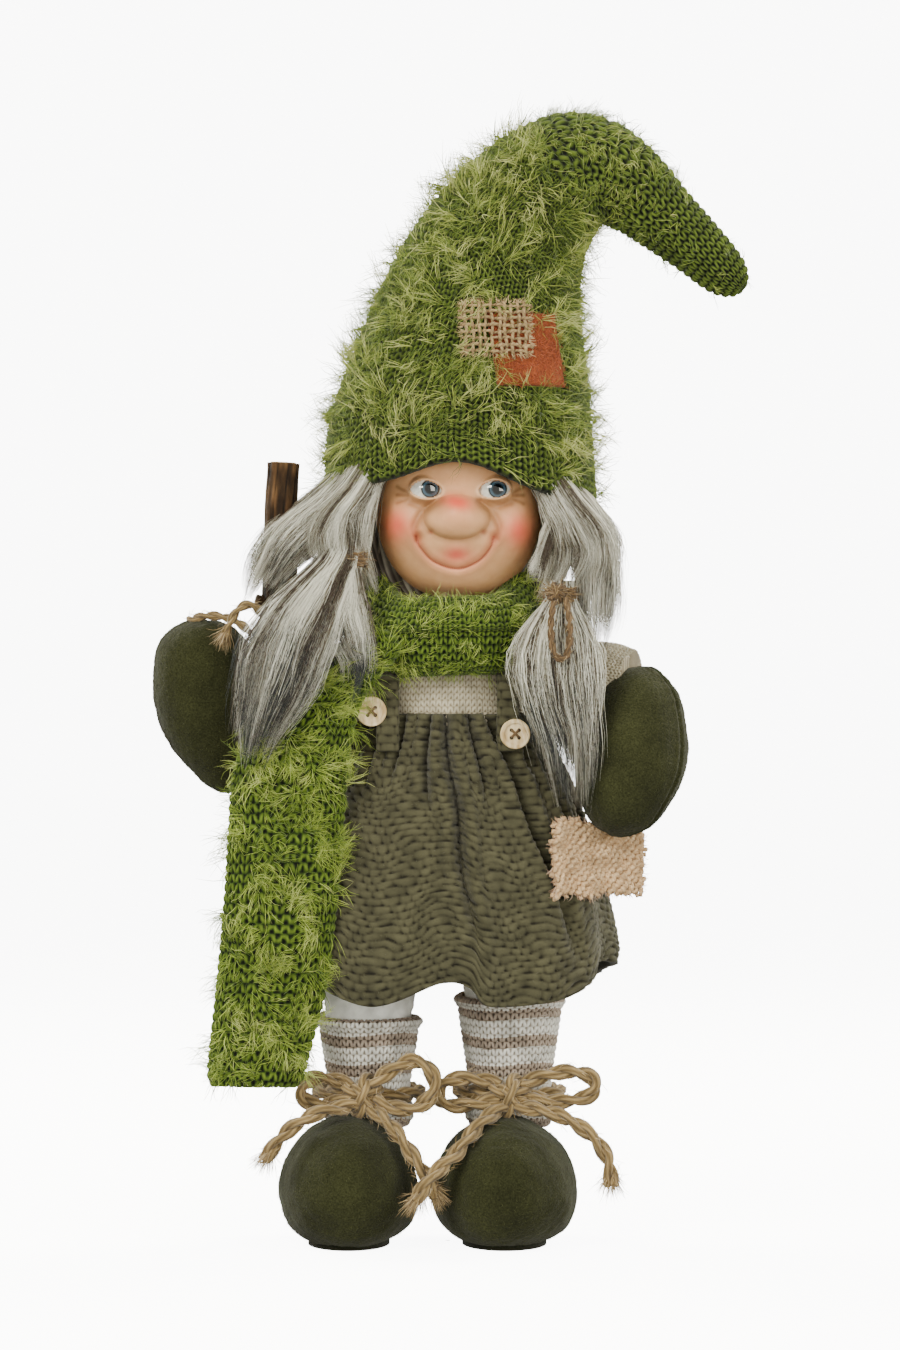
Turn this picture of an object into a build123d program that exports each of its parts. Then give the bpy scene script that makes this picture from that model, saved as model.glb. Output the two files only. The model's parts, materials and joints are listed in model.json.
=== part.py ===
from build123d import *

import math
import os

# Standing tomte gnome doll, about 45 cm tall.
# +Z is up, the face looks along -Y, "left" is the figure's own left (+X).
# The origin is on the floor under the middle of the figure. Millimetres.

os.makedirs("parts", exist_ok=True)

# Driving dimensions
GAP = 0.3  # air between soft pieces
RUN_FIT = 0.05  # radial clearance of a rod in its bore
BODY_Y = 4  # the torso's axis, a little behind the origin
LEG_Y = 5

SIDES = ("right", "left")
LEG_X = {"right": -32, "left": 25}
LEG_BOTTOM = 41
LEG_TOP = 115
ANKLE_R = 12
THIGH_R = 18.5
SOCK_BOTTOM = 47
SOCK_TOP = {"right": 90, "left": 98}
SOCK_THICK = 2.2
LEG_ROD_R = 3
LEG_ROD_BOTTOM = 12
LEG_ROD_TOP = 165

SHOE_X = {"right": -39.8, "left": 22.7}
SHOE_R = {"right": 27.3, "left": 28.2}
# height, middle Y, half width as a share of the shoe's radius, half length
SHOE_RINGS = (
    (2.5, -9, 0.62, 28),
    (8, -9, 0.84, 35.5),
    (17, -9.5, 0.98, 40),
    (26, -9.5, 1.0, 40.5),
    (36, -10, 0.89, 37),
    (45, -10.5, 0.62, 28),
    (51, -11, 0.25, 13),
)

PANEL_THICK = 2.7
CORE_BOTTOM = 118.3
CORE_TOP = 224
NECK_R = 12
NECK_TOP = 256
NECK_X = 2
NECK_Y = 3
DOWEL_R = 5
DOWEL_BOTTOM = 226
DOWEL_TOP = 290
BAG_X = -3.5
BAG_R = 19.7
BAG_TOP = 149.7

SWEATER_RX = 31
SWEATER_RY = 27
SWEATER_BOTTOM = 194
SWEATER_TOP = 226
SWEATER_THICK = 2

SKIRT_THICK = 3
SKIRT_TOP = 212
# height, centre X, half width, half depth
SKIRT_RINGS = (
    (104, 3.5, 64, 51),
    (128, 3.5, 61.5, 49),
    (156, 2, 56, 45),
    (185, 0.5, 47, 39),
    (SKIRT_TOP, 0, 35, 31),
)

STRAP_X = {"right": -24, "left": 24}
STRAP_WIDTH = 8
STRAP_THICK = 1.5
STRAP_FRONT_Y = -28.2
STRAP_BACK_Y = 36.2
BUTTON_R = 6
BUTTON_THICK = 2.2
BUTTON_XZ = {"right": (-30.4, 214), "left": (26.8, 205)}

POCKET_BOTTOM = 141
POCKET_HEIGHT = 29
POCKET_THICK = 1.6

SHOULDER = {"right": (-42, 2, 222), "left": (42, 2, 222)}
WRIST = {"right": (-88, 2, 228), "left": (73, -13, 226)}
SLEEVE_R = 12
SOCKET_R = SLEEVE_R + 0.6
WIRE_R = 1.2
# centre X, centre Y, height, radius
MITTEN_RINGS = {
    "right": (
        (-98, -4, 247, 13),
        (-98.5, -4, 239, 18.6),
        (-98, -4, 220, 20),
        (-94.5, -4, 201, 16.5),
        (-90, -4, 183, 5),
    ),
    "left": (
        (78, -16, 227, 9),
        (78, -18, 216, 17.5),
        (75, -20, 200, 21.5),
        (72.5, -23, 183, 20),
        (70, -25, 165, 6),
    ),
}

HEAD_X = 4.4
HEAD_Z = 297
FACE_R = 34.5
FACE_HALF_HEIGHT = 38.5
FACE_THICK = 3.2
FACE_BACK_Y = -4
EYE_R = 7
EYE_X = {"right": -8.7, "left": 18.6}
EYE_Y = -25.7
EYE_Z = 302
NOSE_R = 6.5
NOSE_AT = (3.4, -35, 296)

HAIR_RX = 43
HAIR_RY = 36
HAIR_BOTTOM = 275
HAIR_TOP = 326

# centre X, centre Z, half width, half depth, lean of the ring toward +X in degrees
HAT_RINGS = (
    (8, 300, 55, 46, 0),
    (7.5, 330, 53, 45, 0),
    (12, 360, 45, 40, 8),
    (20, 392, 36, 33, 24),
    (34, 415, 28, 27, 45),
    (50, 428, 23.5, 23, 68),
)
HAT_Y = 2
HAT_CAVITY = 0.88  # inside of the knit as a share of its outside
BRIM_ARCH_Z = 283
BRIM_ARCH_R = 30
TIP_PIVOT = (62, 2, 426)
TIP_BALL_R = 16
TIP_END = (112, 2, 387)
TIP_ROOT_R = 14
TIP_DROOP = 20  # degrees below its rest
TIP_CLEAR = 0.6
TIP_END_R = 8.5

PIGTAIL_NECK_R = 5
TIE_AT = {"right": (-39, -30, 274), "left": (45, -30, 260)}
TIE_R = 7.5
TIE_HEIGHT = 7
# centre X, centre Y, height, half width, half depth
PIGTAIL_RINGS = {
    "right": (
        (-47, -38, 259, 11, 6),
        (-60, -45, 240, 20, 8),
        (-70, -47, 219, 15, 7),
        (-80, -47, 199, 3, 2),
    ),
    "left": (
        (44.5, -36, 245, 11, 6),
        (44, -41, 227, 19, 8),
        (44, -42, 205, 13, 7),
        (46, -42, 182, 3, 2),
    ),
}

SCARF_R = 28
SCARF_HALF_WIDTH = 10
SCARF_HALF_HEIGHT = 21.5
SCARF_Z = 250
TAIL_Y = -31.5
TAIL_THICK = 9
TAIL_PIVOT_Z = 182.5

HAIR_KNOT_AT = (43, -41, 261)
HAIR_KNOT_R = 4.8

STICK_R = 6.4
STICK_TOP = (-65, -18, 313)
STICK_FOOT = (-74.5, -18, 120)
STUB_R = 2.6
STUB_LENGTH = 3
STUB_UP = ((57, -1), (184, 1))  # distance from the top of the stick, side
STICK_TIE_Z = 244
STICK_TIE_HEIGHT = 9

TWINE = 6.4  # thick two-ply jute at the ankles
THIN_TWINE = 2.8  # at the hair
HAND_TWINE = 3.8  # at the hand
KNOT_AT = {"right": (-34, -18, 60), "left": (25, -18, 60)}
KNOT_HEIGHT = 15


def ellipsoid(radius, half_height):
    """A solid of revolution about Z with the head's outline."""
    with BuildPart() as body:
        with BuildSketch(Plane.XZ):
            Ellipse(radius, half_height)
            with Locations((-radius, 0)):
                Rectangle(2 * radius, 2 * half_height, mode=Mode.SUBTRACT)
        revolve(axis=Axis.Z)
    return body.part


def loft_rings(rings, grow=0.0):
    """A soft body lofted through level ellipses: x, y, z, half width, half depth."""
    with BuildPart() as body:
        for x, y, z, half_width, half_depth in rings:
            with BuildSketch(Plane((x, y, z))):
                Ellipse(half_width + grow, half_depth + grow)
        loft()
    return body.part


def rod(start, end, radius):
    """A straight round rod between two points."""
    run = Vector(*end) - Vector(*start)
    with BuildPart() as body:
        with BuildSketch(Plane(origin=start, z_dir=run)):
            Circle(radius)
        extrude(amount=run.length)
    return body.part


def corner_radii(route):
    """The largest arc that each corner's two runs allow."""
    points = [Vector(*p) for p in route]
    radii = []
    for before, corner, after in zip(points, points[1:], points[2:]):
        run_in = corner - before
        run_out = after - corner
        half_turn = math.radians(run_in.get_angle(run_out) / 2)
        radii.append(0.45 * min(run_in.length, run_out.length) / math.tan(half_turn))
    return radii


def save(solid, name):
    """Label one finished piece and write it."""
    solid.label = name
    export_step(solid, f"parts/{name}.step")


def lay_twine(name, route, diameter):
    """One free length of twine as a tube of straight runs and tangent arcs."""
    radii = corner_radii(route)
    with BuildPart() as cord:
        with BuildLine() as path:
            FilletPolyline(*route, radius=radii)
        with BuildSketch(Plane(origin=path.line @ 0, z_dir=path.line % 0)):
            Circle(diameter / 2)
        sweep(path=path.line)
    save(cord.part, name)
    length = path.wire().length
    expected = math.pi * diameter**2 / 4 * length
    print(
        f"{name}: length {length:.1f}, volume ratio {cord.part.volume / expected:.4f},"
        f" radii {[round(r, 1) for r in radii]}"
    )


# ---------------------------------------------------------------- legs and shoes

for side in SIDES:
    x = LEG_X[side]
    taper = (THIGH_R - ANKLE_R) / 59

    save(rod((x, LEG_Y, LEG_ROD_BOTTOM), (x, LEG_Y, LEG_ROD_TOP), LEG_ROD_R), f"leg_rod_{side}")

    with BuildPart() as leg:
        with BuildSketch(Plane((x, LEG_Y, 0), x_dir=(1, 0, 0), z_dir=(0, -1, 0))):
            with BuildLine():
                Polyline(
                    (LEG_ROD_R + RUN_FIT, LEG_BOTTOM),
                    (ANKLE_R, LEG_BOTTOM),
                    (THIGH_R, LEG_BOTTOM + 59),
                    (THIGH_R, LEG_TOP),
                    (LEG_ROD_R + RUN_FIT, LEG_TOP),
                    close=True,
                )
            make_face()
        revolve(axis=Axis((x, LEG_Y, 0), (0, 0, 1)))
    save(leg.part, f"leg_{side}")

    inner_low = ANKLE_R + GAP + taper * (SOCK_BOTTOM - LEG_BOTTOM)
    inner_top = ANKLE_R + GAP + taper * (SOCK_TOP[side] - LEG_BOTTOM)
    with BuildPart() as sock:
        with BuildSketch(Plane((x, LEG_Y, 0), x_dir=(1, 0, 0), z_dir=(0, -1, 0))):
            with BuildLine():
                Polyline(
                    (inner_low, SOCK_BOTTOM),
                    (inner_low + SOCK_THICK, SOCK_BOTTOM),
                    (inner_top + SOCK_THICK, SOCK_TOP[side] - 4),
                    (inner_top + SOCK_THICK + 1, SOCK_TOP[side] - 2),
                    (inner_top + SOCK_THICK, SOCK_TOP[side]),
                    (inner_top, SOCK_TOP[side]),
                    close=True,
                )
            make_face()
        revolve(axis=Axis((x, LEG_Y, 0), (0, 0, 1)))
    save(sock.part, f"sock_{side}")

    # The shoe is a stuffed egg, broad and high at the toe, on a flat sole.
    sx = SHOE_X[side]
    with BuildPart() as shoe:
        for z, middle_y, half_width, half_length in SHOE_RINGS:
            with BuildSketch(Plane((sx, middle_y, z))):
                Ellipse(half_width * SHOE_R[side], half_length)
        loft()
        with BuildSketch(Plane((x, LEG_Y, LEG_BOTTOM - 0.5))):
            Circle(ANKLE_R + SOCK_THICK + 1.7)
        extrude(amount=30, mode=Mode.SUBTRACT)
        with BuildSketch(Plane((x, LEG_Y, LEG_ROD_BOTTOM - 0.1))):
            Circle(LEG_ROD_R + RUN_FIT)
        extrude(amount=40, mode=Mode.SUBTRACT)
    save(shoe.part, f"shoe_{side}")

    low, middle_y, half_width, half_length = SHOE_RINGS[0]
    with BuildPart() as sole:
        with BuildSketch(Plane((sx, middle_y, 0))):
            Ellipse(half_width * SHOE_R[side] - 0.5, half_length - 0.5)
        extrude(amount=low)
    save(sole.part, f"shoe_sole_{side}")
    save(sole.part, f"shoe_sole_{side}")

# ---------------------------------------------------------------- torso

with BuildPart() as base_panel:
    with BuildSketch(Plane((0, BODY_Y, CORE_BOTTOM - PANEL_THICK - GAP))):
        Ellipse(42, 31)
    extrude(amount=PANEL_THICK)
    for side in SIDES:
        with BuildSketch(Plane((LEG_X[side], LEG_Y, LEG_TOP))):
            Circle(LEG_ROD_R + RUN_FIT)
        extrude(amount=10, mode=Mode.SUBTRACT)
save(base_panel.part, "base_panel")

with BuildPart() as ballast_bag:
    with BuildSketch(Plane((BAG_X, BODY_Y, CORE_BOTTOM + GAP))):
        Circle(BAG_R)
    extrude(amount=BAG_TOP - CORE_BOTTOM - GAP)
    fillet(ballast_bag.edges(), radius=4)
save(ballast_bag.part, "ballast_bag")

wire_end = (29, 2, 222)
wire_start = (-29, 2, 222)
save(rod(wire_start, wire_end, WIRE_R), "shoulder_wire")
wire_bore = rod(wire_start, wire_end, WIRE_R + RUN_FIT)

CORE_RINGS = (
    (0, BODY_Y, CORE_BOTTOM, 43, 32),
    (0, BODY_Y, 160, 39, 30),
    (0, BODY_Y, 192, 28, 24),
    (0, BODY_Y, CORE_TOP - GAP, 27, 23),
)
with BuildPart() as body_core:
    for ring_x, ring_y, ring_z, half_width, half_depth in CORE_RINGS:
        with BuildSketch(Plane((ring_x, ring_y, ring_z))):
            Ellipse(half_width, half_depth)
    loft()
    with BuildSketch(Plane((NECK_X, NECK_Y, CORE_TOP - 10))):
        Circle(NECK_R)
    extrude(amount=NECK_TOP - CORE_TOP + 10)
    with BuildSketch(Plane((BAG_X, BODY_Y, CORE_BOTTOM))):
        Circle(BAG_R + GAP)
    extrude(amount=BAG_TOP - CORE_BOTTOM + GAP, mode=Mode.SUBTRACT)
    for side in SIDES:
        with BuildSketch(Plane((LEG_X[side], LEG_Y, CORE_BOTTOM))):
            Circle(LEG_ROD_R + RUN_FIT)
        extrude(amount=LEG_ROD_TOP - CORE_BOTTOM + 0.1, mode=Mode.SUBTRACT)
    with BuildSketch(Plane((NECK_X, NECK_Y, DOWEL_BOTTOM - 0.1))):
        Circle(DOWEL_R + RUN_FIT)
    extrude(amount=NECK_TOP - DOWEL_BOTTOM + 1, mode=Mode.SUBTRACT)
    add(wire_bore, mode=Mode.SUBTRACT)
save(body_core.part, "body_core")

save(rod((NECK_X, NECK_Y, DOWEL_BOTTOM), (NECK_X, NECK_Y, DOWEL_TOP), DOWEL_R), "neck_dowel")

with BuildPart() as sweater_body:
    with BuildSketch(Plane((0, BODY_Y, SWEATER_BOTTOM))):
        Ellipse(SWEATER_RX, SWEATER_RY)
    extrude(amount=SWEATER_TOP - SWEATER_BOTTOM)
    with BuildSketch(Plane((0, BODY_Y, SWEATER_BOTTOM))):
        Ellipse(SWEATER_RX - SWEATER_THICK, SWEATER_RY - SWEATER_THICK)
    extrude(amount=CORE_TOP - SWEATER_BOTTOM, mode=Mode.SUBTRACT)
    with BuildSketch(Plane((NECK_X, NECK_Y, CORE_TOP - 1))):
        Circle(NECK_R + GAP)
    extrude(amount=10, mode=Mode.SUBTRACT)
    with Locations(SHOULDER["right"], SHOULDER["left"]):
        Sphere(SOCKET_R, mode=Mode.SUBTRACT)
    add(wire_bore, mode=Mode.SUBTRACT)
save(sweater_body.part, "sweater_body")

skirt_outer = [(x, BODY_Y, z, rx, ry) for z, x, rx, ry in SKIRT_RINGS]
with BuildPart() as dress_skirt:
    add(loft_rings(skirt_outer))
    add(loft_rings(skirt_outer, grow=-SKIRT_THICK), mode=Mode.SUBTRACT)
save(dress_skirt.part, "dress_skirt")

for side in SIDES:
    low = SKIRT_TOP - 14
    bend = SKIRT_TOP + 2
    top = SWEATER_TOP + 1.3
    half = STRAP_WIDTH / 2
    with BuildPart() as strap:
        with BuildSketch(Plane.YZ.offset(STRAP_X[side] - half)):
            with BuildLine():
                Polyline(
                    (STRAP_FRONT_Y, low),
                    (STRAP_FRONT_Y, bend),
                    (STRAP_FRONT_Y + 10, top),
                    (STRAP_BACK_Y - 10, top),
                    (STRAP_BACK_Y, bend),
                    (STRAP_BACK_Y, low),
                )
            trace(line_width=STRAP_THICK)
        extrude(amount=STRAP_WIDTH)
    save(strap.part, f"dress_strap_{side}")

# The two buttons are alike, with a raised rim and four holes.
BUTTON_BACK_Y = STRAP_FRONT_Y - STRAP_THICK / 2 - 0.1
button_backs = [
    Plane((x, BUTTON_BACK_Y, z), x_dir=(1, 0, 0), z_dir=(0, -1, 0)) for x, z in BUTTON_XZ.values()
]
with BuildPart() as buttons:
    with BuildSketch(*button_backs):
        Circle(BUTTON_R)
    extrude(amount=BUTTON_THICK)
    fillet(buttons.edges(), radius=0.6)
    with BuildSketch(*[back.offset(BUTTON_THICK) for back in button_backs]):
        Circle(BUTTON_R - 1.6)
    extrude(amount=-0.6, mode=Mode.SUBTRACT)
    with BuildSketch(*button_backs):
        with GridLocations(3, 3, 2, 2):
            Circle(0.75)
    extrude(amount=BUTTON_THICK, mode=Mode.SUBTRACT)
save(buttons.part, "buttons")

# The pocket is a square of sacking, stitched on where the skirt turns to its side.
with BuildPart() as pocket_patch:
    with BuildSketch(Plane.XY.offset(POCKET_BOTTOM)):
        with BuildLine():
            Polyline((42.2, -33.4), (62.8, -13.2), (77, -4.8))
        trace(line_width=POCKET_THICK)
    extrude(amount=POCKET_HEIGHT)
save(pocket_patch.part, "pocket_patch")

# ---------------------------------------------------------------- arms

for side in SIDES:
    shoulder = Vector(*SHOULDER[side])
    wrist = Vector(*WRIST[side])
    rings = MITTEN_RINGS[side]
    hand = Vector(*rings[3][:3])

    with BuildPart() as arm_wire:
        with BuildLine() as wire_path:
            FilletPolyline(shoulder, wrist, hand, radius=6)
        with BuildSketch(Plane(origin=shoulder, z_dir=wrist - shoulder)):
            Circle(WIRE_R)
        sweep(path=wire_path.line)
    save(arm_wire.part, f"arm_wire_{side}")

    with BuildPart() as sleeve:
        with Locations(shoulder, wrist):
            Sphere(SLEEVE_R)
        with BuildSketch(Plane(origin=shoulder, z_dir=wrist - shoulder)):
            Circle(SLEEVE_R)
        extrude(amount=(wrist - shoulder).length)
    sleeve_form = sleeve.part

    with BuildPart() as mitten:
        for ring_x, ring_y, ring_z, radius in rings:
            with BuildSketch(Plane((ring_x, ring_y, ring_z))):
                Circle(radius)
        loft()
        add(sleeve_form, mode=Mode.SUBTRACT)
        add(arm_wire.part, mode=Mode.SUBTRACT)
    save(mitten.part, f"mitten_{side}")

    with BuildPart() as sleeve:
        add(sleeve_form)
        add(arm_wire.part, mode=Mode.SUBTRACT)
    save(sleeve.part, f"sleeve_{side}")

# ---------------------------------------------------------------- stick in the right hand

stick_axis = (Vector(*STICK_FOOT) - Vector(*STICK_TOP)).normalized()
with BuildPart() as stick:
    add(rod(STICK_TOP, STICK_FOOT, STICK_R))
    for down, way in STUB_UP:
        at = Vector(*STICK_TOP) + stick_axis * down
        with BuildSketch(Plane(origin=at, z_dir=(way, -0.3, 0.25))):
            Circle(STUB_R)
        extrude(amount=STICK_R + STUB_LENGTH, taper=4)
save(stick.part, "stick")

tie_down = (STICK_TOP[2] - STICK_TIE_Z) / -stick_axis.Z
tie_middle = Vector(*STICK_TOP) + stick_axis * tie_down
tie_low = tie_middle + stick_axis * (STICK_TIE_HEIGHT / 2)
with BuildPart() as stick_tie:
    with BuildSketch(Plane(origin=tie_low, z_dir=-stick_axis)):
        Circle(STICK_R + 2.8)
        Circle(STICK_R + RUN_FIT, mode=Mode.SUBTRACT)
    extrude(amount=STICK_TIE_HEIGHT)
save(stick_tie.part, "stick_tie")

# ---------------------------------------------------------------- head

head_clear = Pos(HEAD_X, 0, HEAD_Z) * ellipsoid(FACE_R + GAP, FACE_HALF_HEIGHT + GAP)
face_outer = Pos(HEAD_X, 0, HEAD_Z) * ellipsoid(FACE_R, FACE_HALF_HEIGHT)
face_inner = Pos(HEAD_X, 0, HEAD_Z) * ellipsoid(FACE_R - FACE_THICK, FACE_HALF_HEIGHT - FACE_THICK)
core_form = Pos(HEAD_X, 0, HEAD_Z) * ellipsoid(
    FACE_R - FACE_THICK - GAP, FACE_HALF_HEIGHT - FACE_THICK - GAP
)
eye_points = [(EYE_X[side], EYE_Y, EYE_Z) for side in SIDES]

with BuildPart() as face_shell:
    add(face_outer)
    with Locations(NOSE_AT):
        Sphere(NOSE_R)
    add(face_inner, mode=Mode.SUBTRACT)
    split(bisect_by=Plane((0, FACE_BACK_Y, 0), x_dir=(1, 0, 0), z_dir=(0, -1, 0)), keep=Keep.TOP)
    with Locations(*eye_points):
        Sphere(EYE_R + RUN_FIT, mode=Mode.SUBTRACT)
save(face_shell.part, "face_shell")

with BuildPart() as head_core:
    add(core_form)
    with Locations(*eye_points):
        Sphere(EYE_R + RUN_FIT, mode=Mode.SUBTRACT)
    with BuildSketch(Plane((NECK_X, NECK_Y, NECK_TOP))):
        Circle(DOWEL_R + RUN_FIT)
    extrude(amount=DOWEL_TOP - NECK_TOP + 0.1, mode=Mode.SUBTRACT)
save(head_core.part, "head_core")

for side, point in zip(SIDES, eye_points):
    with BuildPart() as eye:
        with Locations(point):
            Sphere(EYE_R)
    save(eye.part, f"eye_{side}")

with BuildPart() as hair_cap:
    with BuildSketch(Plane((HEAD_X, 0, HAIR_BOTTOM))):
        Ellipse(HAIR_RX, HAIR_RY)
    extrude(amount=HAIR_TOP - HAIR_BOTTOM)
    add(head_clear, mode=Mode.SUBTRACT)
    with Locations((HEAD_X, -40 - 6, (HAIR_BOTTOM + HAIR_TOP) / 2)):
        Box(70, 80, HAIR_TOP - HAIR_BOTTOM + 2, mode=Mode.SUBTRACT)
save(hair_cap.part, "hair_cap")

# ---------------------------------------------------------------- hat


def hat_form(share, count, start=0):
    """The hat's lofted outline, with its rings shrunk to a share of their size."""
    with BuildPart() as form:
        for x, z, half_width, half_depth, lean in HAT_RINGS[start:count]:
            turn = math.radians(lean)
            up = (math.sin(turn), 0, math.cos(turn))
            across = (math.cos(turn), 0, -math.sin(turn))
            with BuildSketch(Plane((x, HAT_Y, z), x_dir=across, z_dir=up)):
                Ellipse(half_width * share, half_depth * share)
        loft()
    return form.part


with BuildPart() as hat_stuffing:
    add(hat_form(HAT_CAVITY - 0.01, 5))
    split(bisect_by=Plane.XY.offset(338), keep=Keep.TOP)
save(hat_stuffing.part, "hat_stuffing")

tip_run = Vector(*TIP_END) - Vector(*TIP_PIVOT)
with BuildPart() as hat_body:
    add(hat_form(1, 6))
    add(hat_form(HAT_CAVITY, 5), mode=Mode.SUBTRACT)
    with BuildSketch(Plane((HEAD_X, -10, BRIM_ARCH_Z), x_dir=(1, 0, 0), z_dir=(0, -1, 0))):
        Circle(BRIM_ARCH_R)
    extrude(amount=60, mode=Mode.SUBTRACT)
    with Locations(TIP_PIVOT):
        Sphere(TIP_BALL_R + 0.5, mode=Mode.SUBTRACT)
    # The rim is cut back where the tip stands when it droops furthest.
    with BuildSketch(Plane(origin=TIP_PIVOT, z_dir=tip_run.rotate(Axis.Y, TIP_DROOP))):
        Circle(TIP_ROOT_R + TIP_CLEAR)
    extrude(amount=TIP_BALL_R * 2, mode=Mode.SUBTRACT)
save(hat_body.part, "hat_body")

with BuildPart() as hat_tip:
    with Locations(TIP_PIVOT):
        Sphere(TIP_BALL_R)
    with BuildSketch(Plane(origin=TIP_PIVOT, z_dir=tip_run)):
        Circle(TIP_ROOT_R)
    with BuildSketch(Plane(origin=TIP_END, z_dir=tip_run)):
        Circle(TIP_END_R)
    loft()
    with Locations(TIP_END):
        Sphere(TIP_END_R)
    with BuildSketch(Plane(origin=TIP_PIVOT, z_dir=tip_run)):
        Circle(WIRE_R + RUN_FIT)
    extrude(amount=tip_run.length, mode=Mode.SUBTRACT)
save(hat_tip.part, "hat_tip")

save(rod(TIP_PIVOT, TIP_END, WIRE_R), "hat_tip_wire")


def hat_patch(middle, normal, turn, width, height, thick):
    """A flat square of cloth that touches the hat at its middle."""
    with BuildPart() as patch:
        with BuildSketch(Plane(origin=middle, x_dir=(1, -normal[0] / normal[1], 0), z_dir=normal).rotated((0, 0, turn))):
            Rectangle(width, height)
        extrude(amount=thick)
    return patch.part


save(hat_patch((30.6, -37.6, 357.4), (0.44, -0.85, 0.28), 3, 31, 30, 1.5), "felt_patch")
save(hat_patch((18.8, -44.9, 365.5), (0.2, -0.93, 0.3), -4, 27, 22, 1.5), "burlap_patch")

# ---------------------------------------------------------------- scarf

with BuildPart() as scarf_wrap:
    with BuildSketch(Plane.XZ):
        with Locations((SCARF_R, SCARF_Z)):
            Ellipse(SCARF_HALF_WIDTH, SCARF_HALF_HEIGHT)
    revolve(axis=Axis.Z)
    add(head_clear, mode=Mode.SUBTRACT)
save(scarf_wrap.part, "scarf_wrap")

tail_front = Plane((0, TAIL_Y - TAIL_THICK / 2, 0), x_dir=(1, 0, 0), z_dir=(0, -1, 0))
with BuildPart() as scarf_tail_top:
    with BuildSketch(tail_front):
        with BuildLine():
            Polyline(
                (-24, 234),
                (-37.5, 222),
                (-38.5, 206),
                (-41, 188.5),
                (-84, 188.5),
                (-77, 205),
                (-60, 225),
                (-40, 240),
                close=True,
            )
        make_face()
    extrude(amount=-TAIL_THICK)
    with BuildSketch(Plane((0, 0, SCARF_Z - 25))):
        Circle(SCARF_R + SCARF_HALF_WIDTH + GAP)
    extrude(amount=50, mode=Mode.SUBTRACT)
save(scarf_tail_top.part, "scarf_tail_top")

with BuildPart() as scarf_tail:
    with BuildSketch(tail_front):
        with BuildLine():
            Polyline(
                (-41.3, TAIL_PIVOT_Z),
                (-45, 138),
                (-49, 106),
                (-59, 66),
                (-94, 66),
                (-91, 106),
                (-88, 138),
                (-85.3, TAIL_PIVOT_Z),
                close=True,
            )
        make_face()
    extrude(amount=-TAIL_THICK)
    with BuildSketch(Plane.YZ.offset(-85.3)):
        with Locations((TAIL_Y, TAIL_PIVOT_Z)):
            Circle(TAIL_THICK / 2)
    extrude(amount=44)
save(scarf_tail.part, "scarf_tail")

# ---------------------------------------------------------------- pigtails

for side in SIDES:
    tx, ty, tz = TIE_AT[side]
    with BuildPart() as pigtail:
        with BuildSketch(Plane((tx, ty, tz - TIE_HEIGHT / 2 - 1))):
            Circle(PIGTAIL_NECK_R)
        for ring_x, ring_y, ring_z, half_width, half_depth in PIGTAIL_RINGS[side]:
            with BuildSketch(Plane((ring_x, ring_y, ring_z))):
                Ellipse(half_width, half_depth)
        loft()
        with BuildSketch(Plane((tx, ty, tz - TIE_HEIGHT / 2 - 1))):
            Circle(PIGTAIL_NECK_R)
        extrude(amount=TIE_HEIGHT + 2)
    save(pigtail.part, f"pigtail_{side}")

    with BuildPart() as hair_tie:
        with BuildSketch(Plane((tx, ty, tz - TIE_HEIGHT / 2))):
            Circle(TIE_R)
            Circle(PIGTAIL_NECK_R + 0.1, mode=Mode.SUBTRACT)
        extrude(amount=TIE_HEIGHT)
        if side == "left":
            with Locations(HAIR_KNOT_AT):
                Sphere(HAIR_KNOT_R)
    save(hair_tie.part, f"hair_tie_{side}")

# ---------------------------------------------------------------- twine

for side in SIDES:
    kx, ky, kz = KNOT_AT[side]
    ring_r = ANKLE_R + SOCK_THICK + GAP + 2.4 + TWINE / 2
    with BuildPart() as ankle_tie:
        with BuildSketch(Plane((kx, ky, kz - KNOT_HEIGHT / 2))):
            RectangleRounded(11, 9, 3)
        extrude(amount=KNOT_HEIGHT)
        fillet(ankle_tie.edges().group_by(Axis.Z)[0], radius=2)
        fillet(ankle_tie.edges().group_by(Axis.Z)[-1], radius=2)
        with Locations((LEG_X[side], LEG_Y, kz)):
            Torus(ring_r, TWINE / 2)
    save(ankle_tie.part, f"ankle_tie_{side}")

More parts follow.
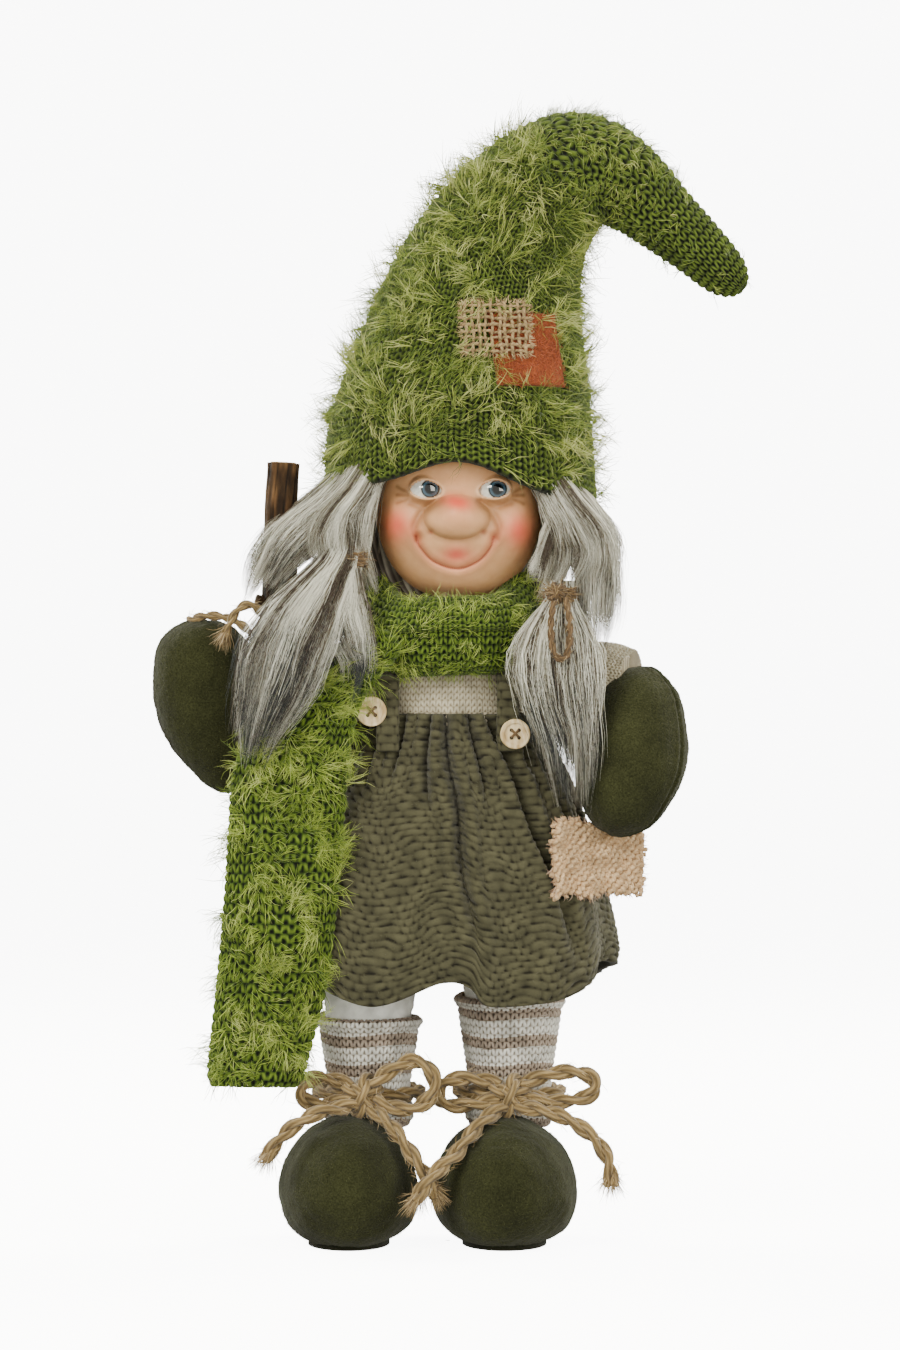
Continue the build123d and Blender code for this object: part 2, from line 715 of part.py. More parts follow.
# Each route starts at the face of its knot, and a loop ends there too.
ROUTES = {
    "bow_right_loop_inner": (
        (-30, -22, 65),
        (-22, -24, 72),
        (-13, -26, 75.5),
        (-6, -27, 71),
        (-5, -27, 63),
        (-10, -26.5, 56.5),
        (-19, -25, 54.5),
        (-29, -22, 58),
    ),
    "bow_right_loop_outer": (
        (-38.5, -18, 64),
        (-48, -17, 67.5),
        (-56, -17.5, 67),
        (-60, -18, 61),
        (-55, -19, 56.5),
        (-47, -20, 57),
        (-38.5, -19, 58.5),
    ),
    "bow_right_tail_outer": (
        (-37, -22, 56.5),
        (-45, -27, 56),
        (-54, -29, 53.5),
        (-62, -28.5, 48.5),
        (-69, -28, 42),
        (-73, -28, 35),
    ),
    "bow_right_tail_inner": (
        (-30.5, -22, 55),
        (-24.5, -29, 51.5),
        (-18.5, -33, 44.5),
        (-13, -36.5, 36.5),
        (-8, -40.5, 30),
        (-4.5, -42, 22),
    ),
    "bow_left_loop_outer": (
        (29, -18, 64.5),
        (39, -17, 68.5),
        (50, -17, 70),
        (58, -18, 68),
        (60, -19.5, 62),
        (53, -20, 58.5),
        (42, -20, 57.5),
        (30, -19, 58.5),
    ),
    "bow_left_loop_inner": (
        (21, -17.5, 64.5),
        (12, -16.5, 67),
        (2, -16, 67),
        (-4.5, -16, 63.5),
        (-4, -16.5, 57.5),
        (3, -17.5, 55.5),
        (12, -19, 57),
        (21, -18.5, 58.5),
    ),
    "bow_left_tail_outer": (
        (28, -22, 56),
        (36, -26.5, 55.5),
        (45, -28, 53),
        (54, -27.5, 48),
        (61, -27, 41),
        (65, -27, 33),
        (65, -27, 25),
    ),
    "bow_left_tail_inner": (
        (22, -22, 55.5),
        (15, -29, 52.5),
        (9, -35.5, 46),
        (2.5, -42, 38),
        (-4, -48, 33.5),
        (-10, -52, 26.5),
        (-13, -53, 21),
    ),
}
for name, route in ROUTES.items():
    lay_twine(name, route, TWINE)

lay_twine(
    "hair_twine_loop_left",
    (
        (42, -45, 257.5),
        (40.8, -49.5, 252.5),
        (40.5, -51.5, 245.5),
        (41, -52, 239),
        (43.2, -52.2, 234.5),
        (46.6, -52, 235),
        (48, -51.5, 241),
        (48.2, -50.5, 248),
        (47.5, -47.5, 254),
        (46.6, -45, 258.5),
    ),
    THIN_TWINE,
)
lay_twine(
    "hand_twine_loop",
    (
        (-79.5, -16, 246),
        (-84, -13.5, 250),
        (-90, -12, 252),
        (-97, -11, 252.5),
        (-103, -8, 251),
        (-105, -2.5, 250),
        (-101, 2.5, 250.5),
    ),
    HAND_TWINE,
)
lay_twine(
    "hand_twine_end",
    (
        (-71, -28.3, 247),
        (-73.5, -31.8, 253),
        (-78, -33, 257),
        (-83, -32.5, 255.5),
        (-86.5, -31.5, 250),
        (-89, -31, 243.5),
    ),
    HAND_TWINE,
)
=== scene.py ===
"""The looks of the standing tomte gnome doll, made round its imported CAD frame.

The tables below are in millimetres in the CAD frame (+Z up, the face looks along -Y, "left" is the
figure's own left, +X), and MM turns them into Blender's metres.
"""

import json
import math

import bpy
import numpy as np
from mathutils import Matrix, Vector


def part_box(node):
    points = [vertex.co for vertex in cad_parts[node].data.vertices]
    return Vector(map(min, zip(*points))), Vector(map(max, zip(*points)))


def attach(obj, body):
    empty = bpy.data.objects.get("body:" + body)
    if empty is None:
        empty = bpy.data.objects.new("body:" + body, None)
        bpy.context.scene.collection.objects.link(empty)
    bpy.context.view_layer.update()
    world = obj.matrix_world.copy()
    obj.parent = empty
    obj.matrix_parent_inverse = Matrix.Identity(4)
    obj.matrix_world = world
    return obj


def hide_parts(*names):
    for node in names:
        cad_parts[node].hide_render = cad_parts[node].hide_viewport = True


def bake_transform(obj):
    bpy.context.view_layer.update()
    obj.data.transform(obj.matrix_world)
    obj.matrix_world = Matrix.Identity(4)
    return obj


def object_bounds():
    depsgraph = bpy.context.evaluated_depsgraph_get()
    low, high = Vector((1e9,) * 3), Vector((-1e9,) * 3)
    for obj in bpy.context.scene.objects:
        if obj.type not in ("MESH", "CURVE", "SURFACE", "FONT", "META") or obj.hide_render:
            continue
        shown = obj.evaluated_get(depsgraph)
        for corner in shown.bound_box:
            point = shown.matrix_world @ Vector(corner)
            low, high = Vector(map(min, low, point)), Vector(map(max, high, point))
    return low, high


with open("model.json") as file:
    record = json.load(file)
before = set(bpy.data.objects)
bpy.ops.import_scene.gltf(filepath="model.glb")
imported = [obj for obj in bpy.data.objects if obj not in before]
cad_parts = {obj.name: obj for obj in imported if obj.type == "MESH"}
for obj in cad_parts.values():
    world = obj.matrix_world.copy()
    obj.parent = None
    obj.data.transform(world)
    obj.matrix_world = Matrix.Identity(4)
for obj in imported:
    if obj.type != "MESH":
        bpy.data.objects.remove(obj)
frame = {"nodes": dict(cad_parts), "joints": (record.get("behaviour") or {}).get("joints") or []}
cad_low, cad_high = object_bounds()

MM = 0.001
SIDES = ("right", "left")
TAU = 2 * math.pi
UP = np.array((0.0, 0.0, 1.0))
PIVOT = {j["name"]: np.array(j["pos_m"]) / MM for j in frame["joints"] if "pos_m" in j}


# ------------------------------------------------------------------ small maths


def unit(vectors):
    """Vectors scaled to length one."""
    return vectors / np.maximum(np.linalg.norm(vectors, axis=-1, keepdims=True), 1e-9)


def smoothstep(low, high, x):
    """0 below low, 1 above high, and a smooth ramp between them."""
    t = np.clip((x - low) / (high - low), 0, 1)
    return t * t * (3 - 2 * t)


def bump(distance, width):
    """A round hill, 1 at distance 0."""
    return np.exp(-((distance / width) ** 2))


def waves(points, wavelength, seed, octaves=2):
    """Smooth seeded noise from -1 to 1 at each point: sums of sines in random directions."""
    rng = np.random.default_rng(seed)
    total = np.zeros(points.shape[:-1])
    for octave in range(octaves):
        for _ in range(6):
            direction = unit(rng.normal(size=3)) * TAU / wavelength * 2**octave * rng.uniform(0.7, 1.4)
            total += np.sin(points @ direction + rng.uniform(0, TAU)) * 0.5**octave
    return np.clip(total / 4, -1, 1)


def catmull_rom(a, b, c, d, t):
    """The smooth curve from b to c at shares t, with its neighbours a and d."""
    return 0.5 * (2 * b + (c - a) * t + (2 * a - 5 * b + 4 * c - d) * t**2 + (3 * b - a - 3 * c + d) * t**3)


def dense_curve(stations, per_span=24):
    """Rows of numbers along a smooth Catmull-Rom curve through the stations' rows."""
    rows = np.array(stations, float)
    padded = np.vstack([2 * rows[0] - rows[1], rows, 2 * rows[-1] - rows[-2]])
    t = np.linspace(0, 1, per_span, endpoint=False)[:, None]
    spans = [catmull_rom(*four, t) for four in zip(padded, padded[1:], padded[2:], padded[3:])]
    return np.vstack([*spans, rows[-1:]])


def at_rows(table, at):
    """The table's rows at places between its whole rows."""
    whole = np.arange(len(table))
    return np.stack([np.interp(at, whole, column) for column in table.T], -1)


def evenly(curve, count, columns=3):
    """The curve again as count rows, evenly spaced by its first columns."""
    steps = np.linalg.norm(np.diff(curve[:, :columns], axis=0), axis=1)
    along = np.concatenate([[0], np.cumsum(steps)])
    at = np.linspace(0, along[-1], count)
    return np.stack([np.interp(at, along, curve[:, k]) for k in range(curve.shape[1])], axis=1)


# ------------------------------------------------------------------ materials


def srgb(code):
    """The linear colour of an sRGB hex code."""
    channels = [int(code[i : i + 2], 16) / 255 for i in (0, 2, 4)]
    return (*[c / 12.92 if c <= 0.04045 else ((c + 0.055) / 1.055) ** 2.4 for c in channels], 1)


class Shader:
    """One Principled material, and the nodes that feed it."""

    def __init__(self, name, roughness=0.8, sheen=0.0, specular=0.3, colour=None):
        self.material = bpy.data.materials.new(name)
        self.material.use_nodes = True
        self.tree = self.material.node_tree
        self.surface = self.tree.nodes["Principled BSDF"]
        self.surface.inputs["Roughness"].default_value = roughness
        self.surface.inputs["Specular IOR Level"].default_value = specular
        self.surface.inputs["Sheen Weight"].default_value = sheen
        self.surface.inputs["Sheen Roughness"].default_value = 0.5
        if colour:
            self.surface.inputs["Base Color"].default_value = srgb(colour)
        self.place = self.node("ShaderNodeTexCoord").outputs["Object"]

    def node(self, kind, **settings):
        made = self.tree.nodes.new(kind)
        for key, value in settings.items():
            setattr(made, key, value)
        return made

    def link(self, source, target):
        self.tree.links.new(source, target)

    def stretched(self, scale):
        """The place on the object, scaled along each axis."""
        mapping = self.node("ShaderNodeMapping")
        mapping.inputs["Scale"].default_value = scale
        self.link(self.place, mapping.inputs["Vector"])
        return mapping.outputs["Vector"]

    def noise(self, scale, detail=4, place=None):
        """Noise with its grain at 1/scale metres."""
        made = self.node("ShaderNodeTexNoise")
        made.inputs["Scale"].default_value = scale
        made.inputs["Detail"].default_value = detail
        self.link(place or self.place, made.inputs["Vector"])
        return made.outputs["Fac"]

    def ramp(self, source, stops):
        """Colours, as hex codes, at positions along a value."""
        made = self.node("ShaderNodeValToRGB")
        elements = made.color_ramp.elements
        while len(elements) < len(stops):
            elements.new(0.5)
        for element, (position, code) in zip(elements, stops):
            element.position = position
            element.color = srgb(code)
        self.link(source, made.inputs["Fac"])
        return made.outputs["Color"]

    def clouded(self, colour, share, scale, detail, grey, start=0.3):
        """The surface's colour, darkened toward a grey in clouds or flecks of noise."""
        clouds = self.ramp(self.noise(scale, detail), [(start, grey), (0.7, "ffffff")])
        made = self.node("ShaderNodeMix", data_type="RGBA", blend_type="MULTIPLY")
        made.inputs[0].default_value = share
        self.link(colour, made.inputs[6])
        self.link(clouds, made.inputs[7])
        self.colour(made.outputs[2])

    def attribute(self, name, output="Fac"):
        return self.node("ShaderNodeAttribute", attribute_name=name).outputs[output]

    def colour(self, source):
        self.link(source, self.surface.inputs["Base Color"])

    def relief(self, height, strength, distance=0.0004):
        made = self.node("ShaderNodeBump")
        made.inputs["Strength"].default_value = strength
        made.inputs["Distance"].default_value = distance
        self.link(height, made.inputs["Height"])
        self.link(made.outputs["Normal"], self.surface.inputs["Normal"])

    def rough(self, source, low, high):
        made = self.node("ShaderNodeMapRange")
        made.inputs["To Min"].default_value = low
        made.inputs["To Max"].default_value = high
        self.link(source, made.inputs["Value"])
        self.link(made.outputs["Result"], self.surface.inputs["Roughness"])


def yarn(name, gap, dark, light, sheen=0.1, grain=2600):
    """Knitted or woven yarn, with fibre grain: painted shade darkens it in its gaps, and its crowns are paler
    with a painted highlight.
    """
    shader = Shader(name, 0.9, sheen, 0.15)
    # The relief sets the colour: the gap colour is painted shade in the hollows, the light colour a painted
    # highlight on the crowns.
    crown = shader.ramp(shader.attribute("relief"), [(0.05, gap), (0.45, dark), (0.95, light)])
    shader.clouded(crown, 0.8, 140, 3, "b8b8b8")
    shader.relief(shader.noise(grain, 5), 0.6)
    return shader.material


def felt(name, dark, light):
    """Pressed wool: cloudy colour and a fine tangle of fibres."""
    shader = Shader(name, 0.95, 0.06, 0.1)
    tangle = shader.noise(1500, 6)
    body = shader.ramp(tangle, [(0.3, dark), (0.72, light)])
    shader.clouded(body, 0.7, 60, 4, "a8a8a8")
    shader.relief(tangle, 0.8, 0.0006)
    return shader.material


def fibre(name, colour, sheen=0.05, roughness=0.6):
    """One shade of loose fibre, with a little change of gloss along it."""
    shader = Shader(name, roughness, sheen, 0.25, colour)
    shader.rough(shader.noise(400, 2), roughness - 0.12, roughness + 0.2)
    return shader.material


def shades(name, codes, **settings):
    """One fibre material for each colour."""
    return [fibre(f"{name}_{k}", code, **settings) for k, code in enumerate(codes)]


def grained(name, dark, light, stretch, roughness=0.6, scale=500, strength=0.5):
    """A plain stiff material with a stretched grain: wood, board or drawn wire."""
    shader = Shader(name, roughness)
    grain = shader.noise(scale, 5, shader.stretched(stretch))
    shader.colour(shader.ramp(grain, [(0.35, dark), (0.68, light)]))
    shader.relief(grain, strength)
    return shader.material


def bark_material():
    """Dark bark with deep cracks between paler plates; the dark in the cracks is partly the bark's own colour
    and partly painted shade.
    """
    shader = Shader("bark", 0.85, 0, 0.2)
    # The relief darkens the cracks: painted shade, over the bark's own darker colour there.
    crown = shader.ramp(shader.attribute("relief"), [(0.1, "150d07"), (0.5, "3b2a18"), (0.9, "694d31")])
    shader.clouded(crown, 0.85, 90, 5, "8c8078", 0.35)
    shader.relief(shader.noise(1500, 6, shader.stretched((1, 1, 0.25))), 0.8)
    return shader.material


def face_material():
    """Resin under a thin coat of paint, from the face's own paint layer, which also carries painted shade."""
    shader = Shader("painted_resin", 0.5, 0, 0.35)
    shader.surface.inputs["Subsurface Weight"].default_value = 0.08
    shader.surface.inputs["Subsurface Radius"].default_value = (0.004, 0.002, 0.001)
    shader.clouded(shader.attribute("paint", "Color"), 0.6, 220, 4, "ece4dc")
    shader.rough(shader.noise(300, 3), 0.42, 0.58)
    shader.relief(shader.noise(700, 3), 0.06)
    return shader.material


def eye_material(name, middle):
    """A glossy painted eye: pupil, blue-grey iris and white, by distance from the iris's middle."""
    shader = Shader(name, 0.08, 0, 0.6)
    shader.surface.inputs["Coat Weight"].default_value = 1
    flat = shader.node("ShaderNodeVectorMath", operation="MULTIPLY")
    flat.inputs[1].default_value = (1, 0, 1)
    shader.link(shader.place, flat.inputs[0])
    away = shader.node("ShaderNodeVectorMath", operation="DISTANCE")
    away.inputs[1].default_value = (middle[0] * MM, 0, middle[1] * MM)
    shader.link(flat.outputs["Vector"], away.inputs[0])
    share = shader.node("ShaderNodeMapRange")
    share.inputs["From Max"].default_value = 10 * MM
    shader.link(away.outputs["Value"], share.inputs["Value"])
    stops = [
        (0.0, "050608"),
        (0.19, "07090c"),
        (0.22, "24343f"),
        (0.29, "3f5666"),
        (0.33, "1c2830"),
        (0.36, "191e22"),
        (0.4, "cfd2cc"),
        (0.6, "d8d9d4"),
    ]
    paint = shader.ramp(share.outputs["Result"], stops)
    shader.clouded(paint, 0.6, 900, 3, "c0c0c0")
    return shader.material


GREENS = ("25330f", "3c4f16", "576b25", "788835", "9aa450", "bcc07a")
SCARF_GREENS = ("2b3c0f", "445a18", "5f7522", "7f9333", "9cac4a", "bac472")
SILVERS = ("dfddd0", "bfbdae", "96917f", "665b4a", "3d3328", "2b3033")
DARK_TONE = 5  # the last of the silvers, for dark ends of tufts
JUTES = ("6d5a40", "8a744f", "a68e69", "bfa984")

knit_green = yarn("knit_green", "090c05", "25300e", "586925")
knit_scarf = yarn("knit_scarf", "0a0d05", "293a0d", "617627")
knit_cream = yarn("knit_cream", "7d735f", "a59c86", "c0b8a3", grain=3200)
knit_dress = yarn("knit_dress", "0e0d08", "2a281c", "494735", 0.1, 1800)
sock_yarns = [
    yarn("sock_white", "8c857b", "c4c1ba", "e4e2dd", grain=3000),
    yarn("sock_brown", "4d433a", "8a7c70", "a89a8d", grain=3000),
]
jute_yarn = yarn("jute_yarn", "3a2e1c", "74603f", "a28b62", 0.2, 2200)
jute_dark = yarn("jute_dark", "2a2018", "5a4732", "80694c", 0.1, 2200)
burlap_yarn = yarn("burlap_yarn", "5a4730", "957d5a", "b7a079", 0.1, 2400)
pocket_yarn = yarn("pocket_yarn", "80623f", "c2a07a", "dcc19c", 0.1, 2400)
leg_cloth = yarn("leg_cloth", "d6d8d4", "e8eae6", "f4f4f1", grain=2400)
olive_felt = felt("olive_felt", "1d1f0d", "373922")
rust_felt = felt("rust_felt", "5f2c18", "9c5232")
# Near-black inner hair: painted shade in the depth of the locks.
hair_shade_core = yarn("hair_shade_core", "1d1916", "453e37", "7a756b", 0.1, 3000)
cut_wood = grained("cut_wood", "8a6a45", "c7a87c", (1, 1, 0.2), 0.7, 900, 0.3)
green_fibres = shades("hat_fibre", GREENS, sheen=0.1)
scarf_fibres = shades("scarf_fibre", SCARF_GREENS, sheen=0.1)
hair_fibres = shades("hair_fibre", SILVERS, sheen=0.1, roughness=0.45)
jute_fibres = shades("jute_fibre", JUTES)
olive_fibres = shades("olive_fibre", ("262813", "37391f", "494b2b"), sheen=0)
rust_fibres = shades("rust_fibre", ("6f2d1b", "974429", "b4603f"))
pale_fibres = shades("pale_fibre", ("b7ae9f", "d6d2c8", "efeeea"))
dress_fibres = shades("dress_fibre", ("2b291e", "3b392a", "514f3d"))
burlap_fibres = shades("burlap_fibre", ("b0936d", "cdb38c"))
pocket_fibres = shades("pocket_fibre", ("b5927a", "d9bea8"))


# ------------------------------------------------------------------ meshes


def mesh_piece(name, points, face_sets, materials, index=None, relief=None, paint=None):
    """A mesh object from points in millimetres and arrays of faces."""
    points = np.asarray(points, np.float32).reshape(-1, 3) * MM
    faces = [np.asarray(f, np.int32) for f in face_sets]
    sizes = np.concatenate([np.full(len(f), f.shape[1], np.int32) for f in faces])
    loops = np.concatenate([f.ravel() for f in faces])
    mesh = bpy.data.meshes.new(name)
    mesh.vertices.add(len(points))
    mesh.vertices.foreach_set("co", points.ravel())
    mesh.loops.add(len(loops))
    mesh.loops.foreach_set("vertex_index", loops)
    mesh.polygons.add(len(sizes))
    mesh.polygons.foreach_set("loop_start", np.concatenate([[0], np.cumsum(sizes)[:-1]]).astype(np.int32))
    mesh.polygons.foreach_set("use_smooth", np.ones(len(sizes), bool))
    for material in materials if isinstance(materials, (list, tuple)) else [materials]:
        mesh.materials.append(material)
    if index is not None:
        mesh.polygons.foreach_set("material_index", np.asarray(index, np.int32))
    mesh.update(calc_edges=True)
    mesh.validate()
    # The relief also sets colour: painted shade in the hollows of the yarn and bark materials.
    if relief is not None:
        layer = mesh.attributes.new("relief", "FLOAT", "POINT")
        layer.data.foreach_set("value", np.asarray(relief, np.float32).ravel())
    if paint is not None:
        layer = mesh.attributes.new("paint", "FLOAT_COLOR", "POINT")
        layer.data.foreach_set("color", np.asarray(paint, np.float32).ravel())
    made = bpy.data.objects.new(name, mesh)
    bpy.context.scene.collection.objects.link(made)
    return made


def grid_faces(rows, columns, wrap=True, first=0):
    """Quads between the rows of a grid; a wrapped grid joins its last column to its first."""
    across = columns if wrap else columns - 1
    r, c = np.meshgrid(np.arange(rows - 1), np.arange(across), indexing="ij")
    nxt = (c + 1) % columns
    quads = np.stack([r * columns + c, r * columns + nxt, (r + 1) * columns + nxt, (r + 1) * columns + c], -1)
    return quads.reshape(-1, 4) + first


def end_fans(rows, columns, first=0):
    """One polygon over each open end of a wrapped grid."""
    low = np.arange(columns)[::-1] + first
    high = np.arange(columns) + first + (rows - 1) * columns
    return np.array([low, high])


def closed_piece(name, grid, material, **looks):
    """A mesh piece from a wrapped grid, with both of its ends closed."""
    rows, columns = grid.shape[:2]
    return mesh_piece(name, grid, [grid_faces(rows, columns), end_fans(rows, columns)], material, **looks)


def stand_in(piece, nodes, body="figure"):
    """The piece, on its body, in place of CAD nodes."""
    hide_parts(*nodes)
    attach(piece, body)
    return piece


def ride_all(pieces, body="figure"):
    """Pieces that stand for no node of their own, on a body."""
    for piece in pieces:
        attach(piece, body)


def blend_all(pieces):
    """Pieces with their placement baked into their meshes."""
    for piece in pieces:
        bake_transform(piece)


def repaint(node, material):
    """The CAD node's own shape in one of this script's materials."""
    materials = frame["nodes"][node].data.materials
    materials.clear()
    materials.append(material)


def grid_normals(points):
    """Unit normals of a wrapped grid, pointing away from each row's middle."""
    around = np.roll(points, -1, 1) - np.roll(points, 1, 1)
    normals = unit(np.cross(around, np.gradient(points, axis=0)))
    outward = points - points.mean(axis=1, keepdims=True)
    return normals if (normals * outward).sum() > 0 else -normals


class Skin:
    """A wrapped grid of points on a soft piece, before its stitches are raised."""

    def __init__(self, points):
        self.points = points
        self.normals = grid_normals(points)
        self.around = unit(np.roll(points, -1, 1) - np.roll(points, 1, 1))
        self.along = unit(np.gradient(points, axis=0))

    def pick(self, count, seed, keep=None):
        """Row and column shares of random places, even by area; keep gives the chance of each."""
        rng = np.random.default_rng(seed)
        a, b = self.points[:-1], self.points[1:]
        area = np.linalg.norm(b - a, axis=-1) * np.linalg.norm(np.roll(a, -1, 1) - a, axis=-1)
        if keep is not None:
            area = area * keep[:-1]
        cells = rng.choice(area.size, count, p=area.ravel() / area.sum())
        row, column = np.unravel_index(cells, area.shape)
        return row, column, rng

    def roots(self, picked):
        row, column, rng = picked
        s, t = rng.random((2, len(row), 1))
        p = self.points
        nxt = (column + 1) % p.shape[1]
        low = p[row, column] * (1 - s) + p[row, nxt] * s
        high = p[row + 1, column] * (1 - s) + p[row + 1, nxt] * s
        root = low * (1 - t) + high * t
        return root, self.normals[row, column], self.around[row, column], self.along[row, column]


def ring_points(centre, across, depth, columns):
    """A level or leaning ellipse for each row: centre, and its two half axes as vectors."""
    angle = TAU / 4 + np.arange(columns)[:, None] * TAU / columns
    return centre[:, None] + across[:, None] * np.cos(angle) + depth[:, None] * np.sin(angle)


def ring_stack(stations, rows, columns):
    """A grid through rings of x, y, z, half width, half depth and lean toward +X in degrees."""
    table = np.array([[*s, 0] if len(s) == 5 else s for s in stations], float)
    profile = evenly(dense_curve(table), rows, 5)
    lean = np.radians(profile[:, 5])
    across = np.stack([np.cos(lean), 0 * lean, -np.sin(lean)], 1) * profile[:, 3:4]
    depth = np.stack([0 * lean, 1 + 0 * lean, 0 * lean], 1) * profile[:, 4:5]
    return ring_points(profile[:, :3], across, depth, columns)


def tube_along(line, radius, sides, twist=0.0):
    """A grid of rings square to a line of points; radius is one number or one for each point."""
    line = np.asarray(line, float)
    tangent = unit(np.gradient(line, axis=0))
    side = np.zeros_like(line)
    start = np.cross(tangent[0], (0.13, 0.2, 0.97))
    side[0] = unit(start)
    for k in range(1, len(line)):
        moved = side[k - 1] - tangent[k] * (side[k - 1] @ tangent[k])
        side[k] = unit(moved)
    other = np.cross(tangent, side)
    angle = np.arange(sides) * TAU / sides + np.linspace(0, twist, len(line))[:, None]
    size = np.broadcast_to(np.asarray(radius, float), (len(line),))[:, None, None]
    round_it = side[:, None] * np.cos(angle)[..., None] + other[:, None] * np.sin(angle)[..., None]
    return line[:, None] + size * round_it


def joined(parts):
    """Several closed tubes, each a grid and its relief, as one set of points, faces and relief."""
    points, quads, relief = [], [], []
    first = 0
    for grid, height in parts:
        rows, columns = grid.shape[:2]
        points.append(grid.reshape(-1, 3))
        relief.append(np.broadcast_to(height, (rows, columns)).ravel())
        quads.append(grid_faces(rows, columns, True, first))
        caps = end_fans(rows, columns, first)
        # Each end polygon is split into quads, so that every face has four corners.
        for cap in caps:
            half = [(cap[k], cap[k + 1], cap[-k - 2], cap[-k - 1]) for k in range(len(cap) // 2 - 1)]
            quads.append(np.array(half))
        first += rows * columns
    return np.vstack(points), [np.vstack(quads)], np.concatenate(relief)


# ------------------------------------------------------------------ stitches and fibres


def stocking_stitch(u, v):
    """Height from 0 to 1 of plain knitting: every unit of u and v is one V-shaped stitch."""
    across, along = u % 1, v % 1
    leg = (np.abs(across - 0.5) - (0.38 - 0.26 * along)) / 0.2
    crown = np.sqrt(np.clip(1 - leg**2, 0, 1))
    return crown * (0.45 + 0.55 * np.sin(math.pi * along) ** 0.7)


def brick_stitch(u, v):
    """Height from 0 to 1 of a puckered cloth: soft blisters with arched edges, staggered row by row."""
    shifted = u + 0.5 * (np.floor(v) % 2)
    x, y = (shifted % 1) * 2 - 1, (v % 1) * 2 - 1
    dome = np.clip(1 - 0.55 * np.abs(x) ** 3 - np.abs(y * 0.9 + 0.3 * x**2 - 0.1) ** 3, 0, 1) ** 0.6
    return 0.12 + 0.88 * dome


def stitched(grid, stitch, wales, courses, height, seed=1, wobble=0.12):
    """The grid with its stitches raised, and their relief from 0 to 1."""
    rows, columns = grid.shape[:2]
    drift = waves(grid, 22, seed) * wobble
    u = np.arange(columns)[None] / columns * wales + drift
    v = np.arange(rows)[:, None] / (rows - 1) * courses + np.roll(drift, 7, 1)
    relief = stitch(u, v)
    return grid + grid_normals(grid) * (relief * height)[..., None], relief


def fibre_pieces(name, line, radius, shade, palette, blunt=0.2, most=7000):
    """Tapered three-sided fibres along lines of points, in meshes of at most so many fibres."""
    rng = np.random.default_rng(len(line))
    shade = np.asarray(shade)
    made = []
    for part, first in enumerate(range(0, len(line), most)):
        run = line[first : first + most]
        count, steps = run.shape[:2]
        tangent = unit(np.gradient(run, axis=1))
        side = unit(np.cross(tangent, unit(rng.normal(size=(count, 1, 3)))))
        other = np.cross(tangent, side)
        narrowing = 1 - (1 - blunt) * np.linspace(0, 1, steps) ** 2
        taper = np.asarray(radius)[first : first + most, None] * narrowing
        angle = np.arange(3) * TAU / 3
        ring = side[:, :, None] * np.cos(angle)[:, None] + other[:, :, None] * np.sin(angle)[:, None]
        points = run[:, :, None] + ring * taper[..., None, None]
        base = np.arange(count)[:, None, None] * steps * 3 + np.arange(steps - 1)[:, None] * 3
        k = np.arange(3)
        nxt = (k + 1) % 3
        quads = np.stack([base + k, base + nxt, base + 3 + nxt, base + 3 + k], -1)
        root = np.arange(count)[:, None] * steps * 3
        tips = np.vstack([root + [2, 1, 0], root + (steps - 1) * 3 + k])
        tone = shade[first : first + most]
        if tone.ndim == 1:
            tone = np.repeat(tone[:, None], steps - 1, 1)
        index = np.concatenate([np.repeat(tone.ravel(), 3), tone[:, 0], tone[:, -1]])
        made.append(mesh_piece(f"{name}_{part + 1}", points, [quads.reshape(-1, 4), tips], palette, index))
    return made


def bent_lines(roots, start, end, length, steps, curl, rng):
    """Lines that leave along start and end along end, with a little curl."""
    s = np.linspace(0, 1, steps)[None, :, None]
    start, end = unit(start)[:, None], unit(end)[:, None]
    size = np.asarray(length)[:, None, None]
    line = roots[:, None] + size * (start * (s - s**2 / 2) + end * s**2 / 2)
    swing = unit(rng.normal(size=(len(roots), 1, 3)))
    phase = rng.uniform(0, TAU, (len(roots), 1, 1))
    return line + swing * size * curl * s * np.sin(TAU * s * 0.9 + phase)


